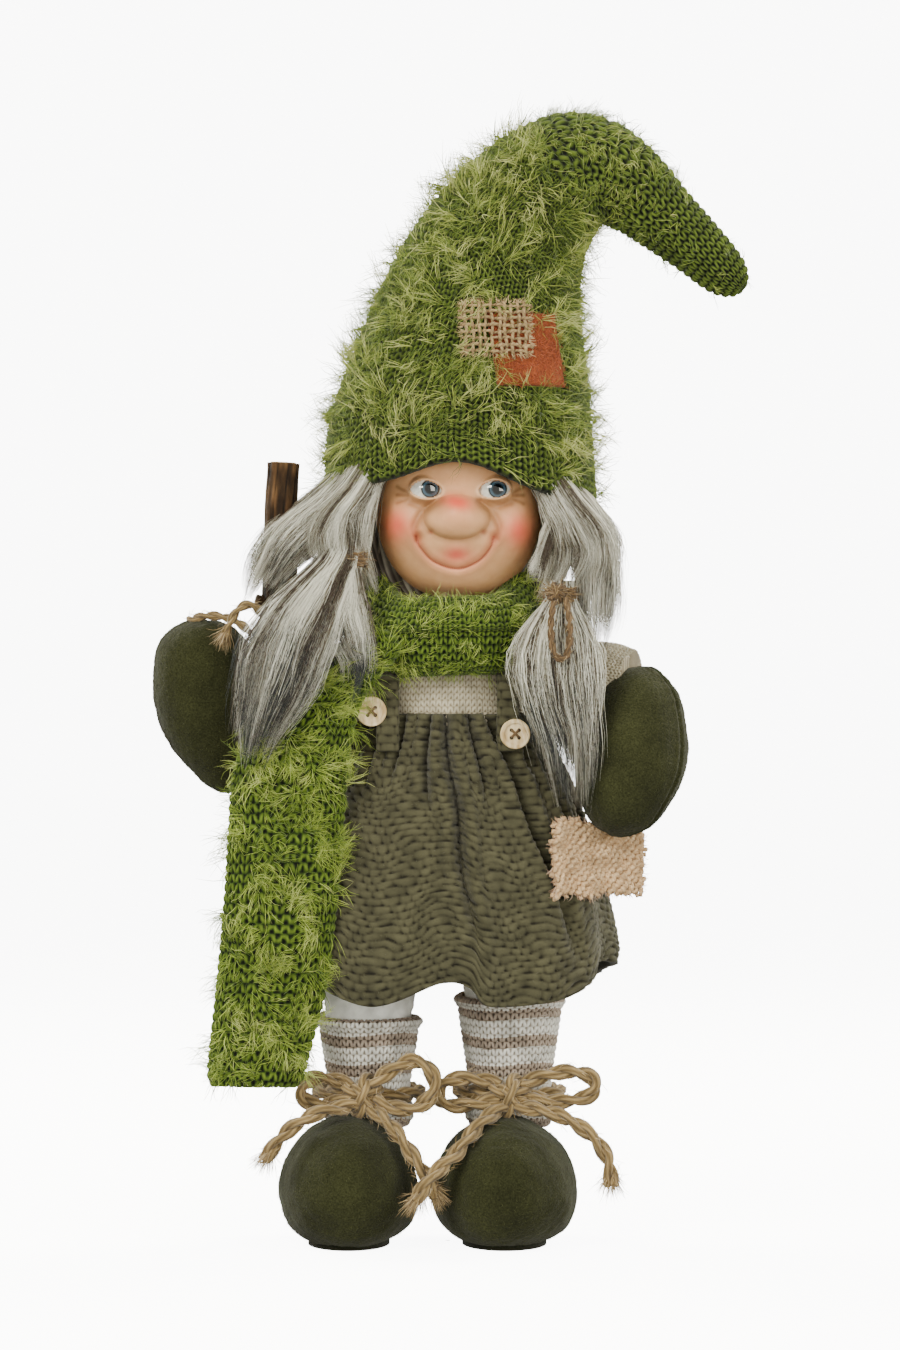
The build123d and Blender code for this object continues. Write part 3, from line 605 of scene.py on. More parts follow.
def fuzz(name, skin, count, length, radius, palette, seed, lift=0.7, droop=0.5, curl=0.12, keep=None, steps=5,
         tones=0.55, sink=0.5, tuft=1):
    """Loose fibres over a skin, in tufts, which lie over in slowly changing directions."""
    tufts = count // tuft
    picked = skin.pick(tufts, seed, keep)
    rng = picked[2]
    roots, normal, around, along = (np.repeat(a, tuft, axis=0) for a in skin.roots(picked))
    count = tufts * tuft
    spread = 0.7 * (tuft > 1)
    roots = roots + (around * rng.normal(size=(count, 1)) + along * rng.normal(size=(count, 1))) * spread
    shared = np.repeat(rng.normal(size=tufts) * 0.8, tuft)
    turn = waves(roots, 26, seed + 1) * math.pi + shared + rng.normal(size=count) * 0.25 * (tuft > 1)
    lying = around * np.cos(turn)[:, None] + along * np.sin(turn)[:, None]
    start = normal * (lift + 0.5 * np.repeat(rng.random((tufts, 1)), tuft, axis=0)) + lying * 0.6
    end = normal * lift * 0.35 + lying - UP * droop + rng.normal(size=(count, 3)) * 0.25
    size = length * np.repeat(rng.uniform(0.5, 1.15, tufts), tuft) * rng.uniform(0.75, 1.1, count)
    line = bent_lines(roots - normal * sink, start, end, size, steps, curl, rng)
    patch = waves(roots, 30, seed + 2) * 0.7 + np.repeat(rng.normal(size=tufts) * 0.7, tuft)
    patch = patch + rng.normal(size=count) * 0.5
    tone = np.clip(np.round((len(palette) - 1) * tones + patch), 0, len(palette) - 1).astype(int)
    # Each fibre steps paler toward its tip: painted light for the glow of the outer fibres.
    tip_lit_tone = np.clip(tone[:, None] + np.arange(steps - 1)[None] * 2 // (steps - 1), 0, len(palette) - 1)
    return fibre_pieces(name, line, radius * rng.uniform(0.6, 1.3, count), tip_lit_tone, palette)


# ------------------------------------------------------------------ camera, light and floor

WARM = (1.0, 0.975, 0.86)  # the tint of every lamp and of the room
VIEW_DISTANCE = 1.9
VIEW_HEIGHT = 0.54  # how much of the object's plane the picture's long side takes in
AIM_SHARE = 0.508  # where the camera stands, as a share of the figure's height


def make_camera():
    """A long lens in front of the figure, level with its middle."""
    data = bpy.data.cameras.new("camera")
    data.sensor_width = 36
    data.lens = data.sensor_width * VIEW_DISTANCE / VIEW_HEIGHT
    data.dof.use_dof = False
    camera = bpy.data.objects.new("camera", data)
    bpy.context.scene.collection.objects.link(camera)
    middle = (cad_low.x + cad_high.x) / 2
    height = cad_low.z + AIM_SHARE * (cad_high.z - cad_low.z)
    camera.location = (middle, -VIEW_DISTANCE - 0.02, height)
    camera.rotation_euler = (math.radians(90), 0, 0)
    bpy.context.scene.camera = camera


def add_light(name, place, aim, size, power):
    """A soft rectangular lamp that faces a point."""
    data = bpy.data.lights.new(name, "AREA")
    data.shape = "RECTANGLE"
    data.size, data.size_y = size
    data.energy = power
    data.color = WARM
    lamp = bpy.data.objects.new(name, data)
    bpy.context.scene.collection.objects.link(lamp)
    lamp.location = place
    lamp.rotation_euler = (Vector(aim) - Vector(place)).to_track_quat("-Z", "Y").to_euler()
    return lamp


STAGE_RADIUS = 7.0
STAGE_SIDES = 48
STAGE_GLOW = 9
WORLD_GLOW = 0.72


def ring_wall(name, profile, material):
    """A surface turned about the upright axis, from pairs of radius and height in metres."""
    angle = np.arange(STAGE_SIDES) * TAU / STAGE_SIDES
    points = [[(r * math.cos(a), r * math.sin(a), z + cad_low.z) for a in angle] for r, z in profile]
    wall = mesh_piece(name, np.array(points) / MM, [grid_faces(len(points), STAGE_SIDES)], material)
    wall.visible_diffuse = False  # the pale room doesn't flood the figure with light
    wall.visible_glossy = False
    return wall


def make_stage():
    """A pale floor that runs into a pale round room, and soft studio light."""
    shader = Shader("stage", 0.9, 0, 0.1, "f6f6f4")
    shader.surface.inputs["Emission Color"].default_value = (1, 1, 1, 1)
    shader.surface.inputs["Emission Strength"].default_value = STAGE_GLOW
    ring_wall("floor", [(0.001, 0), (0.5, 0), (2.0, 0), (STAGE_RADIUS, 0)], shader.material)
    turn = np.linspace(0, TAU / 4, 20)
    dome = [(STAGE_RADIUS * math.cos(a), STAGE_RADIUS * math.sin(a)) for a in turn[:-1]]
    room = ring_wall("backdrop", [*dome, (0.001, STAGE_RADIUS)], shader.material)
    room.visible_shadow = False
    world = bpy.data.worlds.new("studio")
    world.use_nodes = True
    sky = world.node_tree.nodes["Background"].inputs
    sky["Color"].default_value = (*WARM, 1)
    sky["Strength"].default_value = WORLD_GLOW
    bpy.context.scene.world = world
    waist = (0, 0, 0.24)
    add_light("key", (-0.9, -1.3, 1.2), waist, (0.8, 0.8), 44)
    add_light("fill", (1.1, -1.1, 0.7), waist, (0.8, 1.0), 20)
    low_fill = add_light("low_fill", (0.1, -1.5, 0.12), (0, 0, 0.2), (1.4, 0.5), 17)
    low_fill.visible_glossy = False  # no mirror of it in the eyes
    add_light("rim_right", (-1.0, 0.7, 0.9), waist, (0.5, 0.9), 36)
    add_light("rim_left", (1.0, 0.7, 0.9), waist, (0.5, 0.9), 36)


make_camera()
make_stage()


# ------------------------------------------------------------------ jute twine

TWINE = 6.4  # the thick twine at the ankles
THIN_TWINE = 2.8  # at the hair
HAND_TWINE = 3.8  # at the hand

# name: diameter, length, body, far end, route
CORDS = {
    "bow_right_loop_inner": (TWINE, 63.7, "figure", "object", (
        (-30, -22, 65), (-22, -24, 72), (-13, -26, 75.5), (-6, -27, 71), (-5, -27, 63),
        (-10, -26.5, 56.5), (-19, -25, 54.5), (-29, -22, 58))),
    "bow_right_loop_outer": (TWINE, 47.0, "figure", "object", (
        (-38.5, -18, 64), (-48, -17, 67.5), (-56, -17.5, 67), (-60, -18, 61),
        (-55, -19, 56.5), (-47, -20, 57), (-38.5, -19, 58.5))),
    "bow_right_tail_outer": (TWINE, 45.8, "figure", "bare", (
        (-37, -22, 56.5), (-45, -27, 56), (-54, -29, 53.5), (-62, -28.5, 48.5), (-69, -28, 42),
        (-73, -28, 35))),
    "bow_right_tail_inner": (TWINE, 47.9, "figure", "bare", (
        (-30.5, -22, 55), (-24.5, -29, 51.5), (-18.5, -33, 44.5), (-13, -36.5, 36.5),
        (-8, -40.5, 30), (-4.5, -42, 22))),
    "bow_left_loop_outer": (TWINE, 65.9, "figure", "object", (
        (29, -18, 64.5), (39, -17, 68.5), (50, -17, 70), (58, -18, 68), (60, -19.5, 62),
        (53, -20, 58.5), (42, -20, 57.5), (30, -19, 58.5))),
    "bow_left_loop_inner": (TWINE, 56.9, "figure", "object", (
        (21, -17.5, 64.5), (12, -16.5, 67), (2, -16, 67), (-4.5, -16, 63.5), (-4, -16.5, 57.5),
        (3, -17.5, 55.5), (12, -19, 57), (21, -18.5, 58.5))),
    "bow_left_tail_outer": (TWINE, 55.4, "figure", "bare", (
        (28, -22, 56), (36, -26.5, 55.5), (45, -28, 53), (54, -27.5, 48), (61, -27, 41),
        (65, -27, 33), (65, -27, 25))),
    "bow_left_tail_inner": (TWINE, 59.6, "figure", "bare", (
        (22, -22, 55.5), (15, -29, 52.5), (9, -35.5, 46), (2.5, -42, 38), (-4, -48, 33.5),
        (-10, -52, 26.5), (-13, -53, 21))),
    "hair_twine_loop_left": (THIN_TWINE, 53.3, "pigtail_left", "object", (
        (42, -45, 257.5), (40.8, -49.5, 252.5), (40.5, -51.5, 245.5), (41, -52, 239), (43.2, -52.2, 234.5),
        (46.6, -52, 235), (48, -51.5, 241), (48.2, -50.5, 248), (47.5, -47.5, 254), (46.6, -45, 258.5))),
    "hand_twine_loop": (HAND_TWINE, 38.4, "arm_right", "object", (
        (-79.5, -16, 246), (-84, -13.5, 250), (-90, -12, 252), (-97, -11, 252.5),
        (-103, -8, 251), (-105, -2.5, 250), (-101, 2.5, 250.5))),
    "hand_twine_end": (HAND_TWINE, 31.6, "arm_right", "bare", (
        (-71, -28.3, 247), (-73.5, -31.8, 253), (-78, -33, 257), (-83, -32.5, 255.5),
        (-86.5, -31.5, 250), (-89, -31, 243.5))),
}
stray_hairs = {}  # body: lists of fibre lines that stick out of its twine


def nurbs_line(route):
    """Points of the smooth spline that a cord's route controls, in millimetres."""
    curve = bpy.data.curves.new("route", "CURVE")
    curve.dimensions = "3D"
    curve.resolution_u = 24
    spline = curve.splines.new("NURBS")
    spline.points.add(len(route) - 1)
    for point, place in zip(spline.points, route):
        point.co = (*[v * MM for v in place], 1)
    spline.order_u = 3
    spline.use_endpoint_u = True
    holder = bpy.data.objects.new("route", curve)
    mesh = bpy.data.meshes.new_from_object(holder)
    line = np.array([v.co for v in mesh.vertices], float) / MM
    bpy.data.meshes.remove(mesh)
    bpy.data.objects.remove(holder)
    bpy.data.curves.remove(curve)
    return line


def line_length(line):
    """The length of a line of points."""
    return np.linalg.norm(np.diff(line, axis=0), axis=1).sum()


STRAND_SIDES = 16


def twisted(line, diameter, seed=0):
    """Two plies of jute twisted round a line, as tubes with their relief."""
    rng = np.random.default_rng(seed)
    length = line_length(line)
    line = evenly(line, max(12, int(length / 0.45)))
    centres = tube_along(line, 0.24 * diameter, 2, TAU * length / (3.6 * diameter))
    along = np.linspace(0, length, len(line))[:, None]
    angle = np.arange(STRAND_SIDES)[None] * TAU / STRAND_SIDES
    plies = []
    for ply in range(2):
        strands = 0.5 + 0.5 * np.cos(5 * angle + along / diameter * 5 + rng.uniform(0, TAU))
        lumps = 0.5 + 0.5 * np.sin(along * rng.uniform(0.5, 0.8) + angle * 2 + rng.uniform(0, TAU))
        grid = tube_along(centres[:, ply], 0.29 * diameter, STRAND_SIDES)
        middle = centres[:, ply][:, None]
        swell = 0.84 + 0.13 * strands + 0.07 * lumps
        plies.append((middle + (grid - middle) * swell[..., None], 0.15 + 0.65 * strands + 0.2 * lumps))
    return plies


HAIRS_EACH_MM = 1.6


def hairs_on(line, diameter, body, seed, size=5.0, frayed=False):
    """Stray fibres along a twine, and a brush of them at a frayed end."""
    rng = np.random.default_rng(seed)
    line = evenly(line, 60)
    tangent = unit(np.gradient(line, axis=0))
    count = int(line_length(line) * HAIRS_EACH_MM)
    at = rng.integers(0, 60, count)
    out = unit(np.cross(tangent[at], rng.normal(size=(count, 3))))
    lying = tangent[at] * rng.choice((-1, 1), (count, 1))
    roots = line[at] + out * diameter * 0.42
    end = lying + out * 0.5 + rng.normal(size=(count, 3)) * 0.4
    long = size * rng.uniform(0.3, 1.0, count)
    parts = [bent_lines(roots, out * 0.5 + lying * 0.7, end, long, 6, 0.12, rng)]
    if frayed:
        count = int(diameter * 26)
        spread = rng.normal(size=(count, 3)) * 0.34
        roots = line[-1] - tangent[-1] * 2.5 + spread * diameter * 0.6
        end = tangent[-1] + spread * 1.6 - UP * 0.15
        long = rng.uniform(4, 8.5, count)
        parts.append(bent_lines(roots, tangent[-1] + spread * 0.7, end, long, 6, 0.08, rng))
    stray_hairs.setdefault(body, []).extend(parts)


def jute_piece(name, body, parts, material, replaced):
    """One piece from the tubes of a twine."""
    points, faces, relief = joined(parts)
    return stand_in(mesh_piece(name, points, faces, material, relief=relief), replaced, body)


def make_cords():
    """The loops and tails of the bows, and the loose twine at the hair and the hand."""
    for seed, (name, (diameter, length, body, far_end, route)) in enumerate(CORDS.items()):
        line = nurbs_line(route)
        dark = name.startswith("hair")
        material = jute_dark if dark else jute_yarn
        piece = jute_piece(f"{name}_twine", body, twisted(line, diameter, seed), material, [name])
        hairs_on(line, diameter, body, seed + 50, size=3 if dark else 5.5, frayed=far_end == "bare")


def coil(middle, radius, turns, rise, lean=0.0, start=0.0, steps=30):
    """A helix round an upright axis, leaned toward +X by an angle."""
    angle = start + np.linspace(0, TAU * turns, int(steps * turns) + 1)
    climb = np.linspace(-rise / 2, rise / 2, len(angle))
    x, y = radius * np.cos(angle), radius * np.sin(angle)
    c, s = math.cos(lean), math.sin(lean)
    return np.array(middle) + np.stack([x * c + climb * s, y, climb * c - x * s], 1)


def box_middle(node):
    """The middle of a CAD node's box in millimetres."""
    low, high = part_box(node)
    return (np.array(low) + np.array(high)) / 2 / MM


def make_ankle_ties():
    """Twine round each ankle, with the knot of its bow in front."""
    knot_wraps = (
        ((-2.5, 3, -6.5), (-1.5, -3.5, -6), (0, -5.6, 0), (1, -3.5, 6), (2, 3, 6.5)),
        ((-7, -1, 3.5), (-3, -4, 2), (2.5, -4, -2), (7, -1, -4)),
        ((-7, 0, -3.5), (-2.5, -2.8, -1.5), (3, -2.8, 2.2), (7, 0, 4)),
    )
    for side in SIDES:
        leg = box_middle(f"leg_{side}")
        tie = box_middle(f"ankle_tie_{side}")
        low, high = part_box(f"ankle_tie_{side}")
        radius = (high.x - low.x) / MM / 2 - TWINE / 2
        ring = coil((leg[0], leg[1], tie[2]), radius, 1.0, 1.5, start=-TAU / 4, steps=90)
        knot = np.array((leg[0] + (-2 if side == "right" else 0), leg[1] - radius - 2.6, tie[2]))
        parts = twisted(ring, TWINE, 20)
        hairs_on(ring, TWINE, "figure", 21)
        for seed, wrap in enumerate(knot_wraps):
            line = evenly(dense_curve(np.array(wrap) + knot), 30)
            parts += twisted(line, TWINE * 0.86, seed)
            hairs_on(line, TWINE, "figure", seed + 30)
        jute_piece(f"ankle_twine_{side}", "figure", parts, jute_yarn, [f"ankle_tie_{side}"])


def make_hair_ties():
    """A few turns of thin brown twine round the neck of each pigtail, knotted on the left one."""
    for side in SIDES:
        turns = coil(PIVOT[f"pigtail_{side}_swing"], 6.0, 3.2, 5.5, start=1.0)
        parts = twisted(turns, THIN_TWINE, 3)
        hairs_on(turns, THIN_TWINE, f"pigtail_{side}", 41, size=7)
        if side == "left":
            knot = np.array((43, -41, 261))
            for seed, tilt in enumerate((0.3, 1.4, 2.4)):
                ring = coil(knot, 3.2, 1.2, 1.6, lean=tilt, start=seed)
                parts += twisted(ring, THIN_TWINE, seed + 5)
                hairs_on(ring, THIN_TWINE, "pigtail_left", seed + 45, size=6)
        jute_piece(f"hair_tie_twine_{side}", f"pigtail_{side}", parts, jute_dark, [f"hair_tie_{side}"])


def make_stick_tie():
    """Twine wound round the stick above the hand."""
    low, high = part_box("stick_tie")
    radius = (high.y - low.y) / MM / 2 - 1.4
    turns = coil(box_middle("stick_tie"), radius, 3.4, 7.0, lean=0.05)
    hairs_on(turns, THIN_TWINE, "arm_right", 47)
    jute_piece("stick_twine", "arm_right", twisted(turns, THIN_TWINE, 9), jute_yarn, ["stick_tie"])


def make_stray_hairs():
    """The stray fibres of all the twine on each body, as shared pieces."""
    for body, parts in stray_hairs.items():
        line = np.vstack(parts)
        rng = np.random.default_rng(len(line))
        tone = rng.integers(0, len(jute_fibres), len(line))
        radius = rng.uniform(0.07, 0.14, len(line))
        ride_all(fibre_pieces(f"jute_hairs_{body}", line, radius, tone, jute_fibres), body)


make_cords()
make_ankle_ties()
make_hair_ties()
make_stick_tie()
make_stray_hairs()


# ------------------------------------------------------------------ hat

HAT_Y = 2
# x, y, z, half width, half depth, lean toward +X in degrees
HAT_RINGS = (
    (5, HAT_Y, 288, 54, 46.5, 0),
    (5, HAT_Y, 300, 53.5, 46, 0),
    (5, HAT_Y, 330, 51.5, 45, 0),
    (10.5, HAT_Y, 360, 44.5, 40, 8),
    (19, HAT_Y, 392, 36, 33, 24),
    (33.5, HAT_Y, 417, 28.5, 27, 45),
    (50.5, HAT_Y, 431.5, 24, 23, 68),
    (64, HAT_Y, 431.5, 20, 19.5, 96),
    (76, HAT_Y, 424, 16.2, 15.8, 119),
    (87.5, HAT_Y, 413.5, 13.2, 13, 127),
    (99.5, HAT_Y, 403, 11, 11, 128),
    (109.5, HAT_Y, 393.5, 9.3, 9.3, 128),
    (114.8, HAT_Y, 388.8, 7.2, 7.2, 128),
    (118, HAT_Y, 386, 3.8, 3.8, 128),
    (118.9, HAT_Y, 385.2, 0.5, 0.5, 128),
)
HAT_SPLIT_X = 44  # the bending end of the hat starts at this ring
HAT_GRID = (200, 432)  # rows and columns from the brim to the split
TIP_GRID = (190, 180)
BRIM_Z = 300
BRIM_SLOPE = -0.055  # the brim sits lower on the figure's left
ARCH_RISE = 12.5  # over the forehead
ARCH_HALF = 42


def ring_row(table, angle):
    """Points of leaning rings; table's last axis is x, y, z, half width, half depth, lean."""
    lean = np.radians(table[..., 5])
    reach = table[..., 3] * np.cos(angle)
    x = table[..., 0] + reach * np.cos(lean)
    y = table[..., 1] + table[..., 4] * np.sin(angle)
    z = table[..., 2] - reach * np.sin(lean)
    return np.stack([x, y, z], -1)


def hat_body_grid(rows, columns):
    """The hat from its brim to the split, with the brim arched over the forehead."""
    curve = evenly(dense_curve(HAT_RINGS), 900, 5)
    split = np.argmax(curve[:, 0] > HAT_SPLIT_X)
    curve = curve[: split + 1]
    angle = TAU / 4 + np.arange(columns) * TAU / columns
    brim = ring_row(np.broadcast_to(curve[60], (columns, 6)), angle)
    front = brim[:, 1] < 0
    arch = ARCH_RISE * np.clip(1 - ((brim[:, 0] - 4.4) / ARCH_HALF) ** 2, 0, 1) ** 1.2 * front
    height = BRIM_Z + BRIM_SLOPE * (brim[:, 0] - 8) + arch + 1.2 * np.sin(angle * 7)
    first = np.interp(height, curve[:200, 2], np.arange(200))
    at = first + (split - first) * np.linspace(0, 1, rows)[:, None]
    return ring_row(at_rows(curve, at), angle)


def brim_roll(grid):
    """Rows that turn the brim under and up inside the hat."""
    middle = grid[0].mean(axis=0)
    inward = unit((middle - grid[0]) * (1, 1, 0))
    offsets = ((4.2, 9), (4.0, 3), (3.0, -0.2), (1.4, -1.3))
    return np.stack([grid[0] + inward * push + UP * rise for push, rise in offsets])


def make_hat():
    """The knitted hat with its loose yarn, and its end that bends."""
    body = hat_body_grid(*HAT_GRID)
    knitted, relief = stitched(body, stocking_stitch, 72, 56, 2.0, 3)
    knitted = np.vstack([brim_roll(knitted), knitted])
    relief = np.vstack([np.full((4, HAT_GRID[1]), 0.35), relief])
    hat = mesh_piece("hat_knit", knitted, [grid_faces(*relief.shape)], knit_green, relief=relief)
    stand_in(hat, ["hat_body"])

    curve = evenly(dense_curve(HAT_RINGS), 900, 5)
    rows, columns = TIP_GRID
    tail = evenly(curve[np.argmax(curve[:, 0] > HAT_SPLIT_X) :], rows, 5)
    angle = TAU / 4 + np.arange(columns) * TAU / columns
    end = ring_row(tail[:, None], angle)
    knitted_end, end_relief = stitched(end, stocking_stitch, 22, 28, 1.6, 4)
    far_end = end_fans(rows, columns)[1:]
    tip = mesh_piece("hat_tip_knit", knitted_end, [grid_faces(rows, columns), far_end], knit_green,
                     relief=end_relief)
    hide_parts("hat_tip")

    body_skin, tip_skin = Skin(body), Skin(end)
    clumps = 0.35 + 0.65 * smoothstep(-0.5, 0.6, waves(body, 20, 12))
    z = body[..., 2]
    thin_brim = 0.35 + 0.65 * smoothstep(6, 22, z - z[0][None])
    patches = np.array([box_middle("felt_patch"), box_middle("burlap_patch")])
    clear = np.min([np.linalg.norm(body - middle, axis=-1) for middle in patches], axis=0)
    clear = smoothstep(11, 17, clear + 8 * smoothstep(4, -8, body[..., 0] - patches[1][0]))
    crown = 1 + 0.35 * smoothstep(405, 430, z)
    keep = clumps * thin_brim * clear * crown
    coats = fuzz("hat_fuzz", body_skin, 8000, 13, 0.12, green_fibres, 5, lift=0.45, droop=0.05, curl=0.18,
                 keep=keep, tones=0.42, tuft=3)
    # The standing spikes take the paler greens: painted light for the glowing fuzz round the hat's outline.
    coats += fuzz("hat_spikes", body_skin, 6600, 16, 0.15, green_fibres, 6, lift=1.5, droop=-0.1, curl=0.1,
                  keep=keep, tones=0.66, tuft=6)
    ride_all(coats)
    far = np.linspace(0, 1, rows)[:, None] * np.ones((1, columns))
    tips = fuzz("hat_tip_fuzz", tip_skin, 2600, 10, 0.13, green_fibres, 8, lift=0.8, droop=0.1, tuft=4,
                keep=np.clip(1.1 - far * 1.5, 0.12, 1), tones=0.45)
    blend_all([tip, *tips])


make_hat()


# ------------------------------------------------------------------ cloth patches


def plate(node):
    """Centre, axes across, up and out, and the three sizes of a flat CAD square that faces the front."""
    mesh = frame["nodes"][node].data
    points = np.array([v.co for v in mesh.vertices]) / MM
    largest = max(mesh.polygons, key=lambda p: p.area)
    out = np.array(largest.normal) * (1 if largest.normal.y < 0 else -1)
    sides = [np.array(p.normal) for p in mesh.polygons if abs(np.array(p.normal) @ out) < 0.1]
    across = max(sides, key=lambda n: n[0])
    up = np.cross(out, across)
    up = up * np.sign(up[2])
    spans = [np.ptp(points @ axis) for axis in (across, up, out)]
    centre = sum(axis * ((points @ axis).max() + (points @ axis).min()) / 2 for axis in (across, up, out))
    return centre, across, up, out, *spans


def woven(name, place, width, height, pitch, radius, material, seed, ragged=1.6):
    """Threads woven over and under; place(s, t) gives a point and normal in the cloth."""
    rng = np.random.default_rng(seed)
    parts = []
    counts = (max(3, round(width / pitch)), max(3, round(height / pitch)))
    for warp, (count, span, length) in enumerate(((counts[0], width, height), (counts[1], height, width))):
        for k in range(count):
            fixed = (k + 0.5) / count * span - span / 2 + rng.normal() * pitch * 0.06
            reach = length / 2 + rng.uniform(-0.4, 1) * ragged
            low = -length / 2 - rng.uniform(-0.4, 1) * ragged
            run = np.linspace(low, reach, int(length / pitch * 7))
            sway = fixed + np.sin(run * 0.45 + rng.uniform(0, TAU)) * pitch * 0.12
            weave = np.cos(math.pi * (run + length / 2) / pitch + math.pi * (k + warp)) * radius * 0.75
            s, t = (sway, run) if warp == 0 else (run, sway)
            points, normals = place(s, t)
            line = points + normals * weave[:, None]
            thick = radius * rng.uniform(0.82, 1.15) * (1 + 0.12 * np.sin(run * 3.1 + rng.uniform(0, TAU)))
            grid = tube_along(line, thick, 8)
            spun = 0.3 * np.cos(np.arange(8) * TAU / 4 + run[:, None] * 4)
            parts.append((grid, 0.4 + spun + weave[:, None] / radius * 0.2))
    points, faces, relief = joined(parts)
    return mesh_piece(name, points, faces, material, relief=np.clip(relief, 0, 1))


def edge_threads(place, width, height, count, seed, size=4.0):
    """Loose threads that stand out of a cut edge."""
    rng = np.random.default_rng(seed)
    side = rng.integers(0, 4, count)
    share = rng.uniform(-0.5, 0.5, count)
    s = np.where(side < 2, share * width, np.where(side == 2, width / 2, -width / 2))
    t = np.where(side >= 2, share * height, np.where(side == 0, height / 2, -height / 2))
    roots, normals = place(s * 0.97, t * 0.97)
    ahead, _ = place(s * 1.06, t * 1.06)
    out = unit(ahead - roots + 1e-6)
    rough = rng.normal(size=(count, 3)) * 0.5
    long = size * rng.uniform(0.4, 1, count)
    return bent_lines(roots, out + rough * 0.6, out + rough + normals * 0.2, long, 6, 0.15, rng)


FELT_LIFT = 2.7  # off the hat's skin, clear of its stitches
SACKING_LIFT = 5.2
PATCH_REACH = 36  # how far round a patch the hat's skin counts
BURLAP_PITCH = 2.6  # from one thread to the next


def front_of_hat(node):
    """Points on the front of the hat's skin round a patch."""
    points = hat_body_grid(*HAT_GRID)[::3, ::3].reshape(-1, 3)
    middle = box_middle(node)
    near = (np.abs(points - middle)[:, ::2] < PATCH_REACH).all(-1)
    return points[near & (points[:, 1] < -4)]


def settled(points, skin, lift):
    """The points moved along Y onto the skin, and lifted off it."""
    gap = ((points[..., None, ::2] - skin[:, ::2]) ** 2).sum(-1) + 2
    weight = gap**-3.0
    made = np.array(points, float)
    made[..., 1] = (weight * skin[:, 1]).sum(-1) / weight.sum(-1) - lift
    return made


def make_felt_patch(skin):
    """A rust felt square on the hat."""
    centre, across, up, out, width, height, thick = plate("felt_patch")
    rows, columns = 90, 90
    s, t = np.meshgrid(np.linspace(-1, 1, columns), np.linspace(1, -1, rows))
    edge = np.maximum(np.abs(s), np.abs(t))
    flat = centre + across * (s * width / 2)[..., None] + up * (t * height / 2)[..., None]
    flat = settled(flat, skin, FELT_LIFT)
    lumps = waves(flat, 6, 3) * 0.3 + waves(flat, 2.2, 4) * 0.12
    soft = np.sqrt(np.clip(1 - smoothstep(0.93, 1.0, edge) ** 2, 0, 1))
    front = flat + out * ((thick / 2 + lumps) * soft + 0.5)[..., None]
    back = flat[::-1] - out * 0.8
    points = np.vstack([front, back])
    quads = [grid_faces(rows, columns, False), grid_faces(rows, columns, False, rows * columns)]
    n = rows * columns
    last = columns - 1
    rim = []
    for k in range(last):
        rim.append((k + 1, k, n + (rows - 1) * columns + k, n + (rows - 1) * columns + k + 1))
        rim.append(((rows - 1) * columns + k, (rows - 1) * columns + k + 1, n + k + 1, n + k))
    for r in range(rows - 1):
        first, second = r * columns, (r + 1) * columns
        behind_first, behind_second = n + (rows - 1 - r) * columns, n + (rows - 2 - r) * columns
        rim.append((first, second, behind_second, behind_first))
        rim.append((second + last, first + last, behind_first + last, behind_second + last))
    patch = mesh_piece("rust_felt_patch", points, [*quads, np.array(rim)], rust_felt)
    stand_in(patch, ["felt_patch"])

    rng = np.random.default_rng(31)
    count = 1100
    a, b = rng.uniform(-0.52, 0.52, (2, count, 1))
    roots = settled(centre + across * a * width + up * b * height, skin, FELT_LIFT)
    roots = roots + out * (thick / 2 + 0.5)
    lying = across * rng.normal(size=(count, 1)) + up * rng.normal(size=(count, 1))
    line = bent_lines(roots, out * 0.5 + lying, lying + out * 0.15, rng.uniform(1.2, 3, count), 5, 0.15, rng)
    tone = rng.integers(0, 3, count)
    ride_all(fibre_pieces("rust_felt_hairs", line, np.full(count, 0.07), tone, rust_fibres))


def frayed_edge(name, line, radius, seed, palette):
    """The loose threads of a cut edge as pieces of sacking, in two tones."""
    tone = np.random.default_rng(seed).integers(0, 2, len(line))
    ride_all(fibre_pieces(name, line, np.full(len(line), radius), tone, palette))


def make_sacking_patch(skin):
    """A scrap of sacking over the felt square's corner."""
    centre, across, up, out, width, height, _ = plate("burlap_patch")

    def place(s, t):
        flat = centre + np.outer(s, across) + np.outer(t, up)
        return settled(flat, skin, SACKING_LIFT), out

    sacking = woven("burlap_scrap", place, width, height, BURLAP_PITCH, 0.64, burlap_yarn, 32)
    stand_in(sacking, ["burlap_patch"])
    frayed_edge("burlap_hairs", edge_threads(place, width, height, 220, 33, 3.6), 0.12, 34, burlap_fibres)


hat_front = front_of_hat("felt_patch")
make_felt_patch(hat_front)
make_sacking_patch(hat_front)


# ------------------------------------------------------------------ head

# The second colour is painted shade, laid in the face's hollows and creases and toward its edges.
SKIN, SKIN_PAINTED_SHADE, BLUSH, NOSE_RED = "cf9f74", "8f6844", "d95c48", "d64e3c"
LIP, MOUTH_LINE, LID = "d05f4e", "7c3626", "dcb48c"
GAZE = {"right": (-7.0, 302.6), "left": (19.8, 302.4)}  # the middle of each iris
FACE_GRID = (240, 330)
FACE_X = 3.6
EYES_X, EYE_APART = 4.95, 13.65  # the middle between the eyes, and from there to each eye
# middle x and z, half width, half height, share
BLUSHES = ((-20.6, 288, 6.6, 7.0, 0.7), (-20.2, 288.6, 3.2, 4.4, 0.6), (28.2, 286, 6.6, 7.0, 0.7),
           (28.2, 286, 3.2, 4.6, 0.6))
# where a line beside the eye starts and ends in height
CROW_FEET = ((301.5, 303.8), (300.2, 300.4), (298.6, 297))


def blend_paint(paint, code, share):
    """Paint with a colour laid over it by a share for each point."""
    return paint + (np.array(srgb(code)) - paint) * np.clip(share, 0, 1)[..., None]


